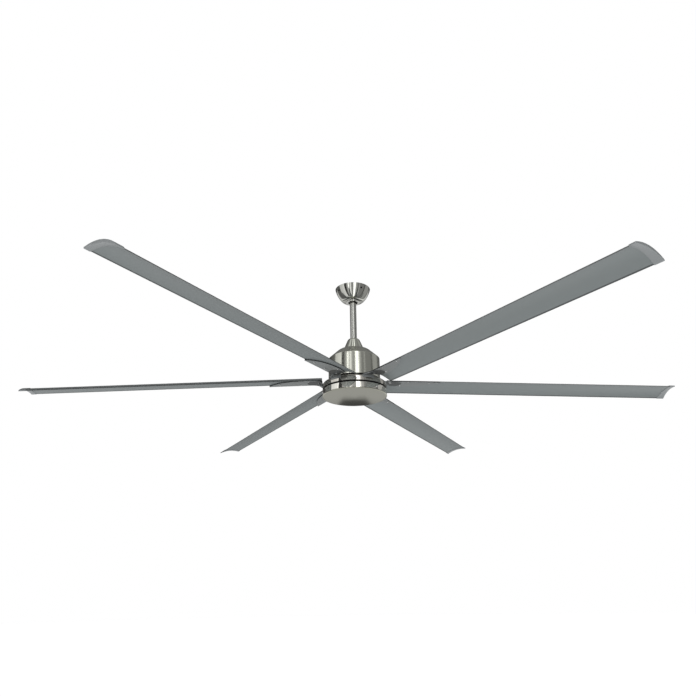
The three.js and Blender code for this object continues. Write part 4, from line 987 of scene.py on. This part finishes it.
def side_screws():
    """The canopy's and band's screws: domed heads square to the wall, each in the plane of its own radius.
    The table gives count, first angle, radius and level of the seat, tilt, and length of the shank."""
    for name, count, first, radius, level, tilt, length, body, kind in (
        ("canopy_screw", 4, 30.0, 66.7, -18.0, 23.0, 9.0, "ceiling_mount", "dark_zinc"),
        ("cap_screw", 3, -50.0, BAND_RADIUS, -458.0, 0.0, 7.0, "hanging_motor", "zinc_plate"),
    ):
        tilt = np.radians(tilt)
        for i in range(count):
            angle = np.radians(first + 360.0 * i / count)
            outward = np.array([np.cos(angle), np.sin(angle), 0.0])
            axis = outward * np.cos(tilt) - np.array([0.0, 0.0, np.sin(tilt)])
            seat = outward * radius + axis * GAP + (0.0, 0.0, level)
            net = screw_net(seat, axis, screw_outline("pan", *SIDE_SCREW, length))
            piece(f"{name}_head_{i + 1}", [net], body, kind, [f"{name}_{i + 1}"])


def arm_screws(k):
    """Under an arm, at [along, across]: two socket screws in its neck and three pan heads for the blade."""
    socket = screw_outline("socket", *NECK_SCREW, SCREW_DEPTH)
    pan = screw_outline("pan", *BLADE_SCREW, SCREW_DEPTH)
    axis = turned_about(AXES @ np.array([0.0, -1.0, 0.0]), k)
    grids = []
    for along, across, head in (
        (141.0, 0.0, socket), (137.0, -18.0, socket),
        (181.0, 28.0, pan), (212.0, -9.0, pan), (294.0, -4.0, pan),
    ):
        centre = on_blade(across - LEAD, underside(across) - GAP - ARM_THICK, along, k)
        grids.append(screw_net(centre, axis, head))
    piece(f"arm_screws_{k + 1}", grids, "rotor", "zinc_plate")


canopy_bowl()
trim_collar()
hanging_rod()
bell_cover()
motor_drum()
polished_ring()
polished_band()
brushed_dish()
side_screws()
plate_thick, gasket_thick = ARM_THICK - GASKET_THICK, GAP + GASKET_THICK - GASKET_LIFT
for k in range(BLADE_COUNT):
    arched_blade(k)
    end_cap(k)
    arm_shell(f"arm_plate_{k + 1}", k, GAP + GASKET_THICK, plate_thick, 0.0, "arm_grey",
              [f"blade_arm_{k + 1}"], ARM_EDGE)
    # A black gasket strip under each arm, standing in for the shade between arm and blade as well
    arm_shell(f"arm_gasket_shade_{k + 1}", k, GASKET_LIFT, gasket_thick, GASKET_INSET, "gasket_shade_black",
              [], GASKET_EDGE)
    arm_screws(k)


# Floor: level and radius in metres, corners, and how much it glows
FLOOR_LEVEL, FLOOR_RADIUS, FLOOR_CORNERS, FLOOR_GLOW = -4.2, 90.0, 96, 0.73


def studio_floor():
    """A wide pale disc well below the fan: x = r cos a, y = r sin a."""
    material = bpy.data.materials.new("studio_floor")
    paint = Paint(material)
    surface = paint.node("ShaderNodeBsdfPrincipled", {}, {
        "Base Color": (0.8, 0.8, 0.8, 1.0), "Roughness": 0.9,
        "Emission Color": (1.0, 1.0, 1.0, 1.0), "Emission Strength": FLOOR_GLOW})
    paint.node("ShaderNodeOutputMaterial", {}, {0: surface}, None)
    mesh = bpy.data.meshes.new("studio_floor")
    angle = np.linspace(0, 2 * np.pi, FLOOR_CORNERS, endpoint=False)
    x, y, z = np.cos(angle) * FLOOR_RADIUS, np.sin(angle) * FLOOR_RADIUS, np.full(FLOOR_CORNERS, FLOOR_LEVEL)
    mesh.from_pydata(np.column_stack([x, y, z]).tolist(), [], [list(range(FLOOR_CORNERS))])
    mesh.materials.append(material)
    floor = placed("studio_floor", mesh)
    floor.visible_glossy = False


# Brightness of the studio from each angle on, in degrees from the camera's side and to the right
# positive, and how far to both sides of that angle it changes
LAMP_EDGE = 0.8
AROUND = [
    (-180.0, 0.09), (-148.0, 0.05), (-128.0, 0.14), (-95.0, 0.75), (-77.0, 0.85), (-63.5, 1.2),
    (-60.0, 0.045), (-46.0, 0.35), (-38.0, 0.7), (-31.0, 2.6), (-27.0, 0.3), (-22.0, 1.15), (-13.0, 0.45),
    (-7.0, 0.33), (4.5, 2.3), (17.0, 0.95), (22.0, 0.4), (31.0, 0.24), (43.5, 0.55), (47.5, 0.24),
    (80.0, 0.1), (88.0, 0.38), (124.0, 0.14), (150.0, 0.08),
]
# The ground behind. It begins between two angles and ends between two heights of the direction. It is
# darker, by shares, straight behind from between two angles on, and far off from between two heights on.
BEHIND, GROUND, STRAIGHT_DARK, STRAIGHT = (125.0, 140.0), 1.02, 0.5, (140.0, 174.0)
FAR_DARK, FAR, GROUND_END = 0.3, (-0.29, -0.24), (0.2, 0.215)
# The dark flag in it: its angle, half its width and the end of its soft edge, and how far down it reaches
FLAG_ANGLE, FLAG_EDGE, FLAG_DEPTH = 178.2, (1.1, 6.0), 0.493
# The room's upper part: heights between which it begins, its own light, and the share it takes from below
UPPER, UPPER_LIGHT, UPPER_SHARE = (0.5, 0.75), 0.14, 0.62


def studio_light():
    """White to the camera. For light and gloss, a room with upright soft lamps and dark flags round the
    fan, and a pale ground behind it, darkest straight behind, with one narrow dark flag."""
    world = bpy.data.worlds.new("studio")
    bpy.context.scene.world = world
    paint = Paint(world)
    direction = paint.node("ShaderNodeTexCoord", output="Generated")
    x, y, z = paint.parts(direction)
    turn = x.math("ARCTAN2", y * -1.0) * (180.0 / np.pi)
    light = AROUND[0][1]
    for (_, before), (angle, after) in zip(AROUND[:-1], AROUND[1:]):
        light = turn.step(angle - LAMP_EDGE, angle + LAMP_EDGE) * (after - before) + light
    aside = turn.math("ABSOLUTE")
    flag = 1.0 - (turn - FLAG_ANGLE).math("ABSOLUTE").step(*FLAG_EDGE)
    below = 1.0 - (z + flag * FLAG_DEPTH).step(*GROUND_END)
    ground = (GROUND - aside.step(*STRAIGHT) * STRAIGHT_DARK) * (1.0 - z.step(*FAR) * FAR_DARK)
    light = light + (ground - light) * below * aside.step(*BEHIND)
    light = light + (UPPER_LIGHT + light * UPPER_SHARE - light) * z.step(*UPPER)
    seen = paint.node("ShaderNodeLightPath", output="Is Camera Ray")
    strength = seen + (1.0 - seen) * light
    back = paint.node("ShaderNodeBackground", {}, {"Color": (1.0, 1.0, 1.0, 1.0), "Strength": strength})
    paint.node("ShaderNodeOutputWorld", {}, {0: back}, None)
    bpy.context.scene.view_settings.view_transform = "Standard"


studio_floor()
studio_light()
